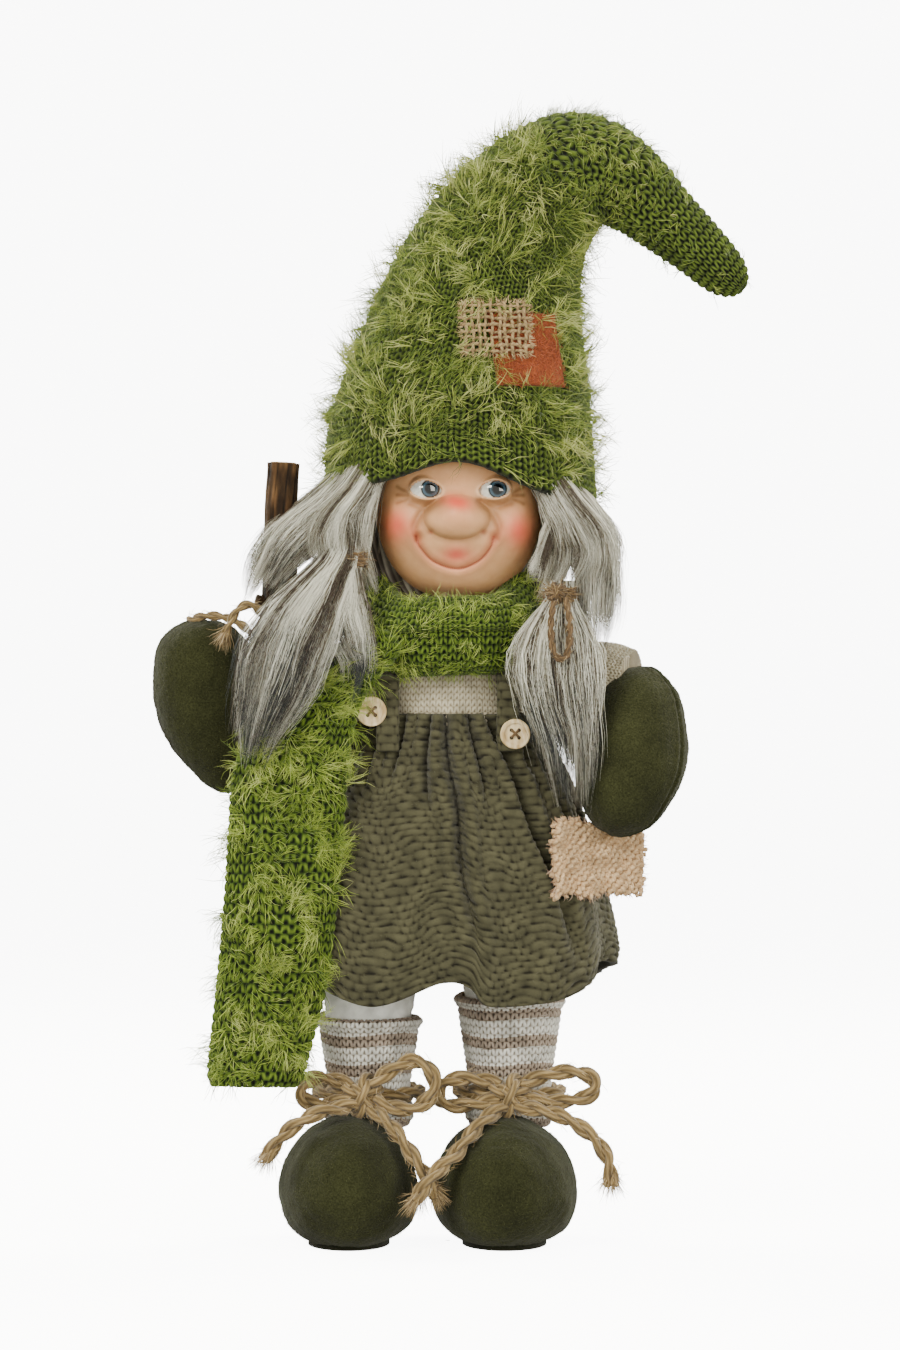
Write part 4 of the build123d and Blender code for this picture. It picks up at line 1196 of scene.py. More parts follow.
def polyline_distance(x, z, points):
    """Distance from each x, z to a smooth curve through the points."""
    gap = np.full(x.shape, 1e9)
    for cx, cz in evenly(dense_curve(points, 12), 60, 2):
        gap = np.minimum(gap, np.hypot(x - cx, z - cz))
    return gap


def make_face():
    """The painted face: full cheeks, a broad nose over a wide muzzle, and a smile."""
    low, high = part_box("face_shell")
    centre_x, centre_z = (low.x + high.x) / 2 / MM, (low.z + high.z) / 2 / MM
    radius, half_height = (high.x - low.x) / 2 / MM, (high.z - low.z) / 2 / MM
    rows, columns = FACE_GRID
    spread = np.linspace(-1, 1, columns, endpoint=False)
    turn = (spread * 0.55 + spread**3 * 0.45) * math.pi
    lat = np.linspace(-0.497, 0.497, rows)[:, None] * math.pi
    round_off = np.where(lat < 0, np.cos(lat) ** 0.84, np.cos(lat))  # the jaw is fuller than the brow
    x = centre_x + radius * round_off * np.sin(turn)
    y = -radius * round_off * np.cos(turn)
    z = centre_z + half_height * np.sin(lat) * np.ones_like(turn)
    front = smoothstep(0.15, 0.5, np.cos(lat) * np.cos(turn))
    dx = x - FACE_X
    out = np.zeros_like(x)

    # Broad forms.
    out += 4.6 * (bump(np.hypot(x + 20.5, z - 287.5), 9.5) + bump(np.hypot(x - 28.6, z - 286.5), 9.5))
    out += 3.4 * np.exp(-(((dx / 15.5) ** 2 + ((z - 284.5) / 9.5) ** 2) ** 1.6))
    out += 2.6 * bump(np.hypot(dx / 1.3, z - 263.5), 7.5)
    out += 1.6 * np.exp(-((dx / 24) ** 2) - ((z - 311.5) / 4.5) ** 2)
    out -= 1.6 * np.exp(-((dx / 7) ** 2) - ((z - 303.5) / 3.5) ** 2)
    nose = np.hypot(dx / 1.42, (z - 291.2) / 0.95)
    out += 6.6 * np.clip(1 - (nose / 9.3) ** 2, 0, 1) ** 0.62
    out += 2.2 * bump(np.hypot(dx / 1.3, z - 294.4), 5)
    for side in (-1, 1):
        out -= 0.9 * bump(np.hypot(dx - side * 10.4, z - 285.2), 1.3)
        out -= 1.0 * bump(np.hypot(dx - side * 14.4, z - 283.6), 1.8)

    # Creases: the smile, the folds beside the nose, and lines round the eyes.
    smile = polyline_distance(x, z, [(-12.6, 283.6), (-11.2, 279.6), (-5.5, 273.6), (3.8, 270.8), (12, 273.8),
                                     (16.8, 279.2), (18.2, 283.4)])
    out -= 0.9 * bump(smile, 0.6)
    out += 0.5 * bump(smile - 2.2, 1.6)
    lines = []
    for side in (-1, 1):
        eye_x = EYES_X + side * EYE_APART
        fold = polyline_distance(x, z, [(FACE_X + side * 9.6, 297), (FACE_X + side * 14.6, 292.5),
                                        (FACE_X + side * 17, 287), (FACE_X + side * 15.6, 282.5)])
        out -= 1.5 * bump(fold, 1.5)
        lines.append((fold, 2.0))
        under_eye = [(eye_x - 6.5 * side, 297.6), (eye_x, 295.2), (eye_x + 6.5 * side, 297)]
        bag = polyline_distance(x, z, under_eye)
        out -= 0.7 * bump(bag, 1.0)
        lines.append((bag, 1.3))
        for first, last in CROW_FEET:
            half_way = last * 0.5 + first * 0.5
            foot = polyline_distance(x, z, [(eye_x + side * 7.4, first), (eye_x + side * 9.6, half_way),
                                            (eye_x + side * 11.6, last)])
            out -= 0.35 * bump(foot, 0.5)
            lines.append((foot, 0.7))

    # Eye sockets, lids and the almond openings over the eyes' balls.
    almond = np.full(x.shape, 9.0)
    rim = np.zeros_like(x)
    y_wanted = y - out * front * 0.98
    for side in SIDES:
        ball_low, ball_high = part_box(f"eye_{side}")
        ex, ey, ez = box_middle(f"eye_{side}")
        ball = (ball_high.x - ball_low.x) / 2 / MM
        ax, az = x - ex, z - ez
        reach = np.hypot(ax, az)
        tilt = az - 0.05 * ax * (1 if side == "left" else -1)
        lid_height = np.where(tilt > 0, 3.9, 3.2)
        shape = (np.abs(ax / 6.3) ** 1.75 + np.abs(tilt / lid_height) ** 1.75) ** (1 / 1.75)
        y_wanted += 1.9 * np.exp(-((ax / 8.5) ** 2) - ((az / 6.0) ** 2)) * front
        surface = ey - np.sqrt(np.clip(ball**2 - reach**2, 0, None))
        lid = 1.15 * np.exp(-((shape - 1.12) / 0.22) ** 2) + 0.45 * np.exp(-((shape - 1.5) / 0.35) ** 2)
        near = (reach < ball * 1.02) & (front > 0)
        lidded = np.minimum(y_wanted, surface - 0.25 - lid)
        y_wanted = np.where(near & (shape >= 1), lidded, y_wanted)
        y_wanted = np.where(near & (shape < 1), surface + 1.3, y_wanted)
        almond = np.minimum(almond, np.where(front > 0, shape, 9.0))
        rim = np.maximum(rim, bump(shape - 1.1, 0.13) * (reach < 9))
    y = np.where(front > 0, y_wanted, y)
    points = np.stack([x, y, z], -1)

    def oval(middle_x, middle_z, wide, tall):
        return np.exp(-(((x - middle_x) / wide) ** 2) - ((z - middle_z) / tall) ** 2)

    # Paint, with painted shade toward the face's edges, in the eye hollows, in the creases and round the base
    # of the nose.
    paint = np.broadcast_to(np.array(srgb(SKIN)), (*x.shape, 4)).copy()
    # Painted shade toward the face's edges.
    paint = blend_paint(paint, SKIN_PAINTED_SHADE, 0.3 * smoothstep(24, 38, np.hypot(dx, (z - 288) * 0.8)))
    # Painted shade in the eye hollows.
    for side in (-1, 1):
        paint = blend_paint(paint, SKIN_PAINTED_SHADE, 0.8 * oval(EYES_X + side * EYE_APART, 297.5, 9.5, 4.5) * front)
    # Painted shade along the creases.
    for gap, width in lines:
        paint = blend_paint(paint, SKIN_PAINTED_SHADE, 0.85 * bump(gap, width * 1.2) * front)
    # Painted shade round the base of the nose.
    paint = blend_paint(paint, SKIN_PAINTED_SHADE, 0.55 * bump(np.abs(nose - 9.6), 1.5) * (z < 297) * front)
    for middle_x, middle_z, wide, tall, share in BLUSHES:
        paint = blend_paint(paint, BLUSH, share * oval(middle_x, middle_z, wide, tall) * front)
    nose_top = np.abs(dx / 5.2) ** 2.4 + np.abs((z - 297.0 + dx * 0.18) / 2.9) ** 2.4
    paint = blend_paint(paint, NOSE_RED, 0.9 * np.exp(-nose_top) * front)
    paint = blend_paint(paint, NOSE_RED, 0.25 * bump(np.hypot(dx, z - 295), 7) * front)
    paint = blend_paint(paint, LIP, 0.95 * oval(3.4, 276.4, 5.8, 3.2) * front)
    paint = blend_paint(paint, LIP, 0.35 * bump(smile, 2.4) * front)
    paint = blend_paint(paint, MOUTH_LINE, 0.8 * bump(smile, 0.5) * front)
    for side in (-1, 1):
        nostril = bump(np.hypot(dx - side * 10.4, z - 285.2), 1.2)
        paint = blend_paint(paint, MOUTH_LINE, 0.6 * nostril * front)
    paint = blend_paint(paint, LID, 0.8 * rim)
    paint = blend_paint(paint, MOUTH_LINE, 0.45 * bump(almond - 1.02, 0.05) * (z > 302))
    face = closed_piece("painted_face", points, face_material(), paint=paint)
    stand_in(face, ["face_shell"])
    for side in SIDES:
        repaint(f"eye_{side}", eye_material(f"eye_{side}", GAZE[side]))


make_face()


# ------------------------------------------------------------------ hair


def through_rings(offsets, rings, steps, shares):
    """Hair lines through rings of x, y, z, half width, half depth; offsets place each hair in each ring."""
    rings = np.array(rings, float)
    knots = rings[None, :, :3] + np.concatenate(
        [offsets * rings[None, :, 3:5], np.zeros((*offsets.shape[:2], 1))], axis=2
    )
    spans = knots.shape[1] - 1
    before, after = 2 * knots[:, :1] - knots[:, 1:2], 2 * knots[:, -1:] - knots[:, -2:-1]
    padded = np.concatenate([before, knots, after], axis=1)
    at = np.linspace(0, 1, steps)[None] * shares[:, None] * spans
    cell = np.clip(at.astype(int), 0, spans - 1)
    t = (at - cell)[..., None]
    who = np.arange(len(knots))[:, None]
    return catmull_rom(*(padded[who, cell + k] for k in range(4)), t)


def lock(name, rings, count, seed, dark_ends, body="figure", tufts=60, thick=0.1, shortest=0.55):
    """A lock of soft hair: tufts of many lengths, each drawn to a point, with loose strays between."""
    steps = 9
    rng = np.random.default_rng(seed)
    angle, away = rng.uniform(0, TAU, tufts), np.sqrt(rng.random(tufts))
    tuft_at = np.stack([np.cos(angle) * away, np.sin(angle) * away], 1)
    member = rng.integers(0, tufts, count)
    stray = (rng.random(count) < 0.3)[:, None, None]
    own_angle, own_away = rng.uniform(0, TAU, count), np.sqrt(rng.random(count))
    own = np.stack([np.cos(own_angle) * own_away, np.sin(own_angle) * own_away], 1)
    depth = np.linspace(0, 1, len(rings))[None, :, None]
    gathered = tuft_at[member][:, None] * (0.4 + 0.75 * depth) + own[:, None] * (0.6 - 0.5 * depth**1.2)
    loose = own[:, None] * (0.95 + 0.3 * depth) + rng.normal(size=(count, 1, 2)) * 0.22 * depth
    offsets = np.where(stray, loose, gathered) + rng.normal(size=(count, len(rings), 2)) * 0.05
    reach = rng.uniform(shortest, 1.0, tufts)[member] * rng.uniform(0.84, 1.0, count)
    line = through_rings(offsets, rings, steps, reach)
    broad, fine = waves(line, 16, seed + 3)[..., None], waves(line, 7, seed + 4)[..., None]
    waved = broad * (1.3, 1.1, 0.0) + fine * (0.4, 0.3, 0)
    line = line + waved * np.linspace(0, 1, steps)[None, :, None]
    streak = 6.5 * waves(line[:, steps // 2], 9, seed + 5) + rng.normal(size=tufts)[member] * 0.7
    at = np.linspace(0, 1, steps - 1)[None]
    shade = 1.2 + streak[:, None] + 1.3 * (1 - smoothstep(0, 0.22, at)) + 1.1 * smoothstep(0.8, 1, at)
    tone = np.clip(np.round(shade + rng.normal(size=(count, 1)) * 0.6), 0, DARK_TONE - 1).astype(int)
    ends = (rng.random(tufts) < dark_ends)[member]
    tone[ends, -(steps // 4) :] = DARK_TONE
    radius = rng.uniform(0.6, 1.25, count) * thick
    ride_all(fibre_pieces(name, line, radius, tone, hair_fibres, 0.12, 6500), body)


def streaked_core(name, rings, rows, columns, body, node, grooves, front=-1000):
    """The dark inner mass of a lock, its darkness painted shade inside the hair, grooved along the hair and
    flat where it would pass the front.
    """
    grid = ring_stack(rings, rows, columns)
    angle = np.arange(columns)[None] * TAU / columns
    along = np.linspace(0, 6, rows)[:, None]
    relief = 0.5 + 0.3 * np.sin(grooves * angle + np.sin(along) * 2)
    relief = relief + 0.2 * np.sin(grooves * 0.37 * angle + along * 2)
    grid = grid + grid_normals(grid) * (relief * 1.1)[..., None]
    grid[..., 1] = np.maximum(grid[..., 1], front)
    stand_in(closed_piece(name, grid, hair_shade_core, relief=relief), [node], body)


# Locks that come out from under the brim beside the face:
# count of hairs, share of dark ends, tufts, and rings of x, y, z, half width, half depth from the brim down
LOCKS = {
    "hair_side_right": (5600, 0.05, 60, (
        (-29, -20, 316, 8, 9), (-36, -26, 303, 10, 8), (-45, -29, 290, 14, 10), (-46, -31, 278, 12, 7),
        (-42, -32, 266, 7, 5))),
    "hair_flare_right": (6200, 0.2, 60, (
        (-36, -8, 312, 9, 12), (-44, -16, 301, 12, 13), (-56, -24, 289, 14, 11), (-64, -29, 279, 12, 9),
        (-71, -33, 268, 8, 6), (-77, -36, 257, 4, 3))),
    "hair_side_left": (5600, 0.05, 60, (
        (37, -20, 314, 7, 9), (44, -25, 300, 9, 8), (52, -28, 287, 11, 10), (55, -31, 274, 11, 7),
        (49, -33, 260, 9, 5))),
    "hair_flare_left": (5000, 0.2, 60, (
        (45, -6, 308, 7, 12), (51, -14, 298, 9, 13), (59, -21, 284, 9, 11), (60, -27, 268, 9, 8),
        (59, -32, 250, 8, 6), (58, -35, 234, 4, 3))),
    "hair_inner_left": (1400, 0, 14, (
        (45, -22, 296, 4, 6), (41, -29, 284, 4, 4), (38, -32, 274, 4, 3), (33, -35, 261, 3, 3))),
}
# x, y, z, half width, half depth from the tie down
PIGTAILS = {
    "right": ((-41, -30, 284, 6, 6), (-43, -32, 276, 8, 6), (-48, -36, 268, 11, 7), (-55, -41, 257, 14.5, 8),
              (-63, -45, 241, 16, 9), (-68, -47, 223, 14, 8), (-74, -48, 207, 9, 5), (-78, -48, 190, 4, 3)),
    "left": ((45, -30, 266, 6, 5), (45, -31, 258, 6, 5), (44, -35, 250, 11, 6), (43.5, -39, 238, 15.5, 8),
             (44, -41, 224, 15, 9), (47, -42, 208, 11.5, 7), (49, -42, 194, 9.5, 6), (50, -42, 172, 5, 4)),
}
LOOSE_STRAND = ((-40, -33, 276, 4, 4), (-41, -38, 262, 8, 4), (-39, -42, 246, 9, 4), (-36, -42, 230, 7, 3),
                (-38, -42, 214, 3, 2))


BACK_HAIRS = 3600
PAST_EARS = 0.6  # how far the back's hair comes round each side, in radians


def make_hair():
    """The hair at the back, the locks beside the face and the two pigtails."""
    cap_low, cap_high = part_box("hair_cap")
    middle = (cap_low + cap_high) / 2 / MM
    rx, ry = (cap_high.x - cap_low.x) / 2 / MM, cap_high.y / MM
    rings = [(middle.x, 4, z, rx * share, ry * share) for z, share in
             ((330, 0.9), (310, 0.95), (290, 0.95), (272, 0.86), (262, 0.7), (258, 0.45))]
    streaked_core("hair_shade_core_back", rings, 60, 220, "figure", "hair_cap", 60, -6)

    # Hair all round the back, from under the brim down to the scarf.
    rng = np.random.default_rng(60)
    count = BACK_HAIRS
    turn = rng.uniform(-PAST_EARS, math.pi + PAST_EARS, count)
    outward = np.stack([np.cos(turn), np.sin(turn)], 1)
    knots = []
    for z, share in ((316, 0.98), (300, 1.05), (286, 1.08), (272, 1.0), (258, 0.86)):
        jitter = 1 + rng.normal(size=(count, 1)) * 0.03
        level = outward * (rx, ry) * share * jitter + (middle.x, 2)
        knots.append(np.column_stack([level, np.full(count, z) + rng.normal(size=count) * 2]))
    knots = np.stack(knots, 1)
    at = np.linspace(0, 1, 8)[None] * rng.uniform(0.78, 1.0, count)[:, None] * 4
    cell = np.clip(at.astype(int), 0, 3)
    who = np.arange(count)[:, None]
    line = knots[who, cell] * (1 - (at - cell))[..., None] + knots[who, cell + 1] * (at - cell)[..., None]
    tone = np.clip(np.round(rng.normal(1.3, 1.2, count) + waves(knots[:, 0], 18, 61)), 0, 4).astype(int)
    radius = rng.uniform(0.12, 0.22, count)
    ride_all(fibre_pieces("hair_back", line, radius, tone, hair_fibres, 0.15, 5200))

    for seed, (name, (count, dark_ends, tufts, rings)) in enumerate(LOCKS.items()):
        lock(name, rings, count, 62 + seed, dark_ends, tufts=tufts)
    for seed, side in enumerate(SIDES):
        rings = PIGTAILS[side]
        shrunk = [(x, y, z, w * 0.55, d * 0.55) for x, y, z, w, d in rings[:-2]]
        streaked_core(f"pigtail_shade_core_{side}", shrunk, 60, 90, f"pigtail_{side}", f"pigtail_{side}", 22)
        lock(f"pigtail_hair_{side}", rings, 6500, 70 + seed, 0.4, f"pigtail_{side}", 90, 0.135, 0.65)
    lock("pigtail_strand_right", LOOSE_STRAND, 1500, 73, 0.3, "pigtail_right", 16)


make_hair()


# ------------------------------------------------------------------ scarf

SCARF_TAIL = (
    (-30, -30, 246, 5, 3.5),
    (-33, -33, 238, 13, 5),
    (-48, -33, 222, 15, 5.5),
    (-58, -32.5, 206, 19.5, 5.5),
    (-62.8, -32, 188, 21.8, 5.2),
    (-64.5, -32, 165, 21.8, 5),
    (-66.5, -32, 138, 21.5, 5),
    (-70, -32, 106, 21, 5),
    (-75, -32, 78, 19, 5),
    (-76.5, -32, 68, 17.8, 4.6),
    (-77, -32, 65.5, 15, 2.5),
)
CHIN_DIP = 14  # how far the scarf's top edge dips under the chin


def make_scarf():
    """The padded turn of the scarf round the neck."""
    low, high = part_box("scarf_wrap")
    half_width, half_height = 10, (high.z - low.z) / 2 / MM
    ring = (high.x - low.x) / 2 / MM - half_width
    middle = (low.z + high.z) / 2 / MM
    rows, columns = 150, 380
    around = TAU / 4 + np.arange(columns) * TAU / columns
    section = np.linspace(-0.5, 1.5, rows)[:, None] * math.pi
    creases = 1 + 0.10 * np.sin(section * 3 + np.sin(around * 2) * 0.8) * (np.cos(section) > -0.2)
    radius = ring + half_width * np.cos(section) * creases
    dip = CHIN_DIP * smoothstep(-0.1, 0.9, -np.sin(around)) * smoothstep(-0.4, 0.6, np.sin(section))
    height = middle + half_height * np.sin(section) + 1.5 * np.sin(around + 2.4) - dip
    grid = np.stack([radius * np.cos(around), radius * np.sin(around), height * np.ones_like(around)], -1)
    relief = stocking_stitch(np.arange(columns)[None] / columns * 60 + waves(grid, 20, 5) * 0.12,
                             np.linspace(0, 36, rows)[:, None] + waves(grid, 24, 6) * 0.15)
    outward = unit(np.stack([np.cos(section) * np.cos(around), np.cos(section) * np.sin(around),
                             np.sin(section) * np.ones_like(around)], -1))
    wrap = mesh_piece("scarf_wrap_knit", grid + outward * (relief * 1.6)[..., None],
                      [grid_faces(rows, columns)], knit_scarf, relief=relief)
    stand_in(wrap, ["scarf_wrap"])
    skin = Skin(grid)
    skin.normals = outward
    seen = (np.cos(section) > -0.35) * (0.15 + 0.85 * smoothstep(-0.4, 0.6, waves(grid, 17, 7)))
    loose = fuzz("scarf_fuzz", skin, 3700, 9, 0.12, scarf_fibres, 90, lift=0.6, droop=0.1, keep=seen, tuft=4)
    ride_all(loose)


def make_scarf_tail():
    """The long end of the scarf that hangs in front."""
    rows, columns = 290, 156
    flat = ring_stack(SCARF_TAIL, rows, columns)
    share = np.linspace(0, 1, rows)[:, None]
    flat[..., 1] += 1.2 * np.sin(share * 17) * smoothstep(0, 0.2, share) + 1.5 * np.sin(flat[..., 0] / 9)
    knitted, relief = stitched(flat, stocking_stitch, 25, 50, 1.5, 9)
    tail = closed_piece("scarf_tail_knit", knitted, knit_scarf, relief=relief)
    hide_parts("scarf_tail", "scarf_tail_top")
    keep = 0.15 + 0.85 * smoothstep(-0.4, 0.6, waves(flat, 20, 10))
    loose = fuzz("scarf_tail_fuzz", Skin(flat), 7800, 13, 0.13, scarf_fibres, 95, lift=0.75, droop=0.35,
                 keep=keep, tuft=6)
    blend_all([tail, *loose])


make_scarf()
make_scarf_tail()


# ------------------------------------------------------------------ sweater

SHOULDER_RISE = 1.5
SLEEVE_R = 12.6
SLEEVE_GRID = (150, 216)
WRIST = {"right": (-90, 1, 228), "left": (74, -13, 227)}


def make_sweater():
    """A fine cream sweater; its sleeves bend at the shoulders."""
    rings = ((0, 4, 190, 31.5, 27.5), (0, 4, 206, 31.8, 27.8), (0, 4, 220, 31.5, 27.5), (0.5, 4, 230, 29, 25),
             (1.4, 3.6, 236, 20, 18), (2, 3, 239, 13.5, 13.5))
    grid, relief = stitched(ring_stack(rings, 108, 420), stocking_stitch, 84, 24, 0.7, 21)
    body = closed_piece("sweater_knit", grid, knit_cream, relief=relief)
    stand_in(body, ["sweater_body"])
    for side in SIDES:
        sign = -1 if side == "right" else 1
        joint = "arm_right_sweep" if side == "right" else "arm_left_raise"
        shoulder = PIVOT[joint] + UP * SHOULDER_RISE
        wrist = np.array(WRIST[side])
        elbow = (shoulder + wrist) / 2 + (0, 0, 2.5)
        line = evenly(dense_curve([shoulder - (sign * 17, 0, 4), shoulder, elbow, wrist]), SLEEVE_GRID[0])
        share = np.linspace(0, 1, SLEEVE_GRID[0])
        girth = SLEEVE_R + 2.2 * bump(share - 0.3, 0.3) - 1.6 * smoothstep(0.8, 1, share)
        tube = tube_along(line, girth, SLEEVE_GRID[1])
        tube = tube + grid_normals(tube) * (waves(tube * (0.5, 1, 1), 15, 22) * 0.9)[..., None]
        tube, relief = stitched(tube, stocking_stitch, 34, 32, 0.8, 23)
        sleeve = closed_piece(f"sleeve_knit_{side}", tube, knit_cream, relief=relief)
        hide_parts(f"sleeve_{side}")
        down = fuzz(f"sleeve_fuzz_{side}", Skin(tube), 900, 2.6, 0.07, pale_fibres, 24, lift=0.6, droop=0.1)
        blend_all([sleeve, *down])


make_sweater()


# ------------------------------------------------------------------ dress

BODY_Y = 4
# height, middle x, half width, half depth
SKIRT_PROFILE = ((86, 3.5, 64.5, 51.5), (104, 3.5, 64, 51), (128, 3.5, 61.5, 49), (156, 2, 56, 45),
                 (185, 0.5, 47, 39), (203, 0, 38.5, 33), (213, 0, 34.5, 30.5))
# angle from the front at the waist and at the hem, depth, width, and how far down it runs
FOLDS = (
    (-1.2, -1.15, 4.0, 1.6, 0.5), (-0.81, -0.8, 4.0, 1.3, 0.3), (-0.52, -0.5, 3.6, 1.2, 0.26),
    (-0.2, -0.16, 4.2, 1.4, 0.42), (-0.02, 0.13, 6.4, 1.7, 0.98), (0.26, 0.34, 4.2, 1.3, 0.36),
    (0.46, 0.92, 7.4, 2.0, 0.95), (0.74, 0.76, 3.6, 1.3, 0.24), (1.0, 1.12, 5.0, 1.8, 0.6),
    (1.35, 1.42, 4.4, 1.9, 0.8), (1.65, 1.7, 4.2, 1.6, 0.5), (2.0, 2.1, 5.6, 2.0, 0.9),
    (2.4, 2.4, 4.0, 1.6, 0.4), (2.8, 2.75, 6.0, 2.2, 0.95), (-1.55, -1.6, 4.4, 1.8, 0.6),
    (-1.9, -1.95, 5.6, 2.2, 0.9), (-2.3, -2.25, 4.0, 1.6, 0.45), (-2.7, -2.7, 6.0, 2.2, 0.9),
)
# angle from the front, height of the hem there
HEM = ((-3.2, 102), (-2.4, 98), (-1.6, 101), (-1.0, 103), (-0.55, 97), (-0.1, 106.5), (0.08, 105),
       (0.2, 97.5), (0.6, 98.5), (0.9, 103), (1.25, 113), (1.7, 110), (2.4, 100), (3.2, 102))


def skirt_grid(rows, columns, inset=0.0):
    """The gathered skirt from waist to hem, with its folds; inset moves it inward."""
    turn = np.arange(columns) * TAU / columns - math.pi
    hem = evenly(dense_curve(HEM), 400, 1)
    bottom = np.interp(turn, hem[:, 0], hem[:, 1])
    share = np.linspace(0, 1, rows)[:, None]
    top = SKIRT_PROFILE[-1][0]
    z = top - (top - bottom) * share
    curve = dense_curve(SKIRT_PROFILE)
    middle, half_width, half_depth = (np.interp(z, curve[:, 0], curve[:, k]) for k in (1, 2, 3))
    push = np.full(z.shape, -inset)
    for at_waist, at_hem, depth, width, reach in FOLDS:
        centre = at_waist + (at_hem - at_waist) * share**0.8
        away = (turn - centre + math.pi) % TAU - math.pi
        gap = away * (half_width + half_depth) / 2 + 0.8 * np.sin(share * 14 + at_waist * 5)
        fade = 1 - smoothstep(0.55 * reach, reach, share)
        push -= depth * fade * bump(gap, width * (1 + 1.7 * share))
        push += 0.45 * depth * fade * bump(np.abs(gap) - width * 2.2, width * 1.3)
    push += 1.7 * np.sin(turn * 8 + 1.2) * share**1.5 + 1.0 * np.sin(turn * 13 + 0.5) * share
    push -= 1.6 * smoothstep(0.93, 1, share)
    x = middle + (half_width + push) * np.sin(turn)
    y = BODY_Y - (half_depth + push) * np.cos(turn)
    return np.stack([x, y, z], -1)


def make_skirt():
    """The gathered skirt, knitted outside and plain inside, closed at its hem and waist."""
    rows, columns, inner_rows = 170, 530, 10
    outside, relief = stitched(skirt_grid(rows, columns), brick_stitch, 60, 38, 1.25, 31, 0.6)
    inside = skirt_grid(inner_rows, columns, 2.0)[::-1]
    points = np.vstack([outside, inside])
    total = rows + inner_rows
    closing = grid_faces(2, columns)
    closing = np.where(closing >= columns, closing - columns, closing + (total - 1) * columns)
    shade = np.vstack([relief, np.full((inner_rows, columns), 0.3)])
    faces = [grid_faces(total, columns), closing]
    skirt = mesh_piece("dress_skirt_knit", points, faces, knit_dress, relief=shade)
    stand_in(skirt, ["dress_skirt"])
    ride_all(fuzz("dress_fuzz", Skin(outside), 3200, 2.4, 0.07, dress_fibres, 33, lift=0.7, droop=0.1))


def make_straps():
    """Knit bands over the shoulders, with a button on the front of each."""
    for side in SIDES:
        low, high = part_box(f"dress_strap_{side}")
        x = (low.x + high.x) / 2 / MM
        front, back, bottom, top = low.y / MM + 0.7, high.y / MM - 0.7, low.z / MM, high.z / MM
        line = evenly(dense_curve([(x, front, bottom), (x, front, top - 13), (x, front + 9, top + 1.5),
                                   (x, back - 9, top + 1.5), (x, back, top - 13), (x, back, bottom)]), 200)
        tangent = unit(np.gradient(line, axis=0))
        out = np.cross(tangent, (1.0, 0, 0)) * -1
        angle = np.arange(36) * TAU / 36
        wide = np.sign(np.cos(angle)) * np.abs(np.cos(angle)) ** 0.6 * 4.2
        thick = np.sign(np.sin(angle)) * np.abs(np.sin(angle)) ** 0.7 * 1.0
        grid = line[:, None] + np.array((1.0, 0, 0)) * wide[:, None] + out[:, None] * thick[:, None]
        grid, relief = stitched(grid, brick_stitch, 6, 34, 0.5, 35, 0.05)
        strap = closed_piece(f"dress_strap_knit_{side}", grid, knit_dress, relief=relief)
        stand_in(strap, [f"dress_strap_{side}"])


BUTTON_RADIUS = 6


def button_middles():
    """The middle of each button's front face: the right one is the higher one."""
    low, high = (np.array(corner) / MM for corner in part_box("buttons"))
    return ((low[0] + BUTTON_RADIUS, low[1], high[2] - BUTTON_RADIUS),
            (high[0] - BUTTON_RADIUS, low[1], low[2] + BUTTON_RADIUS))


def make_button_threads():
    """Crossed double threads through the holes of each button."""
    s = np.linspace(-1, 1, 16)
    parts = []
    for x, y, z in button_middles():
        depth = y + 0.45 - 0.55 * (1 - s**4) + s**6 * 1.0
        for tilt in (1, -1):
            for lift in (0, 0.35):
                line = np.stack([x + s * 1.5, depth, z + s * 1.5 * tilt + lift], 1)
                parts.append((tube_along(line, 0.38, 8), 0.6))
    points, faces, relief = joined(parts)
    thread = mesh_piece("button_threads", points, faces, jute_dark, relief=relief)
    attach(thread, "figure")


POCKET_PATH = ((41.5, -35.0), (52, -24.8), (62.8, -14.4), (70, -9.6), (78, -5.6))
POCKET_TURN = np.array((0.18, 0.1))  # how the path would go on past its end
POCKET_GRID = (28, 36)  # rows, and columns on each face of the cloth
POCKET_THICK = 0.5


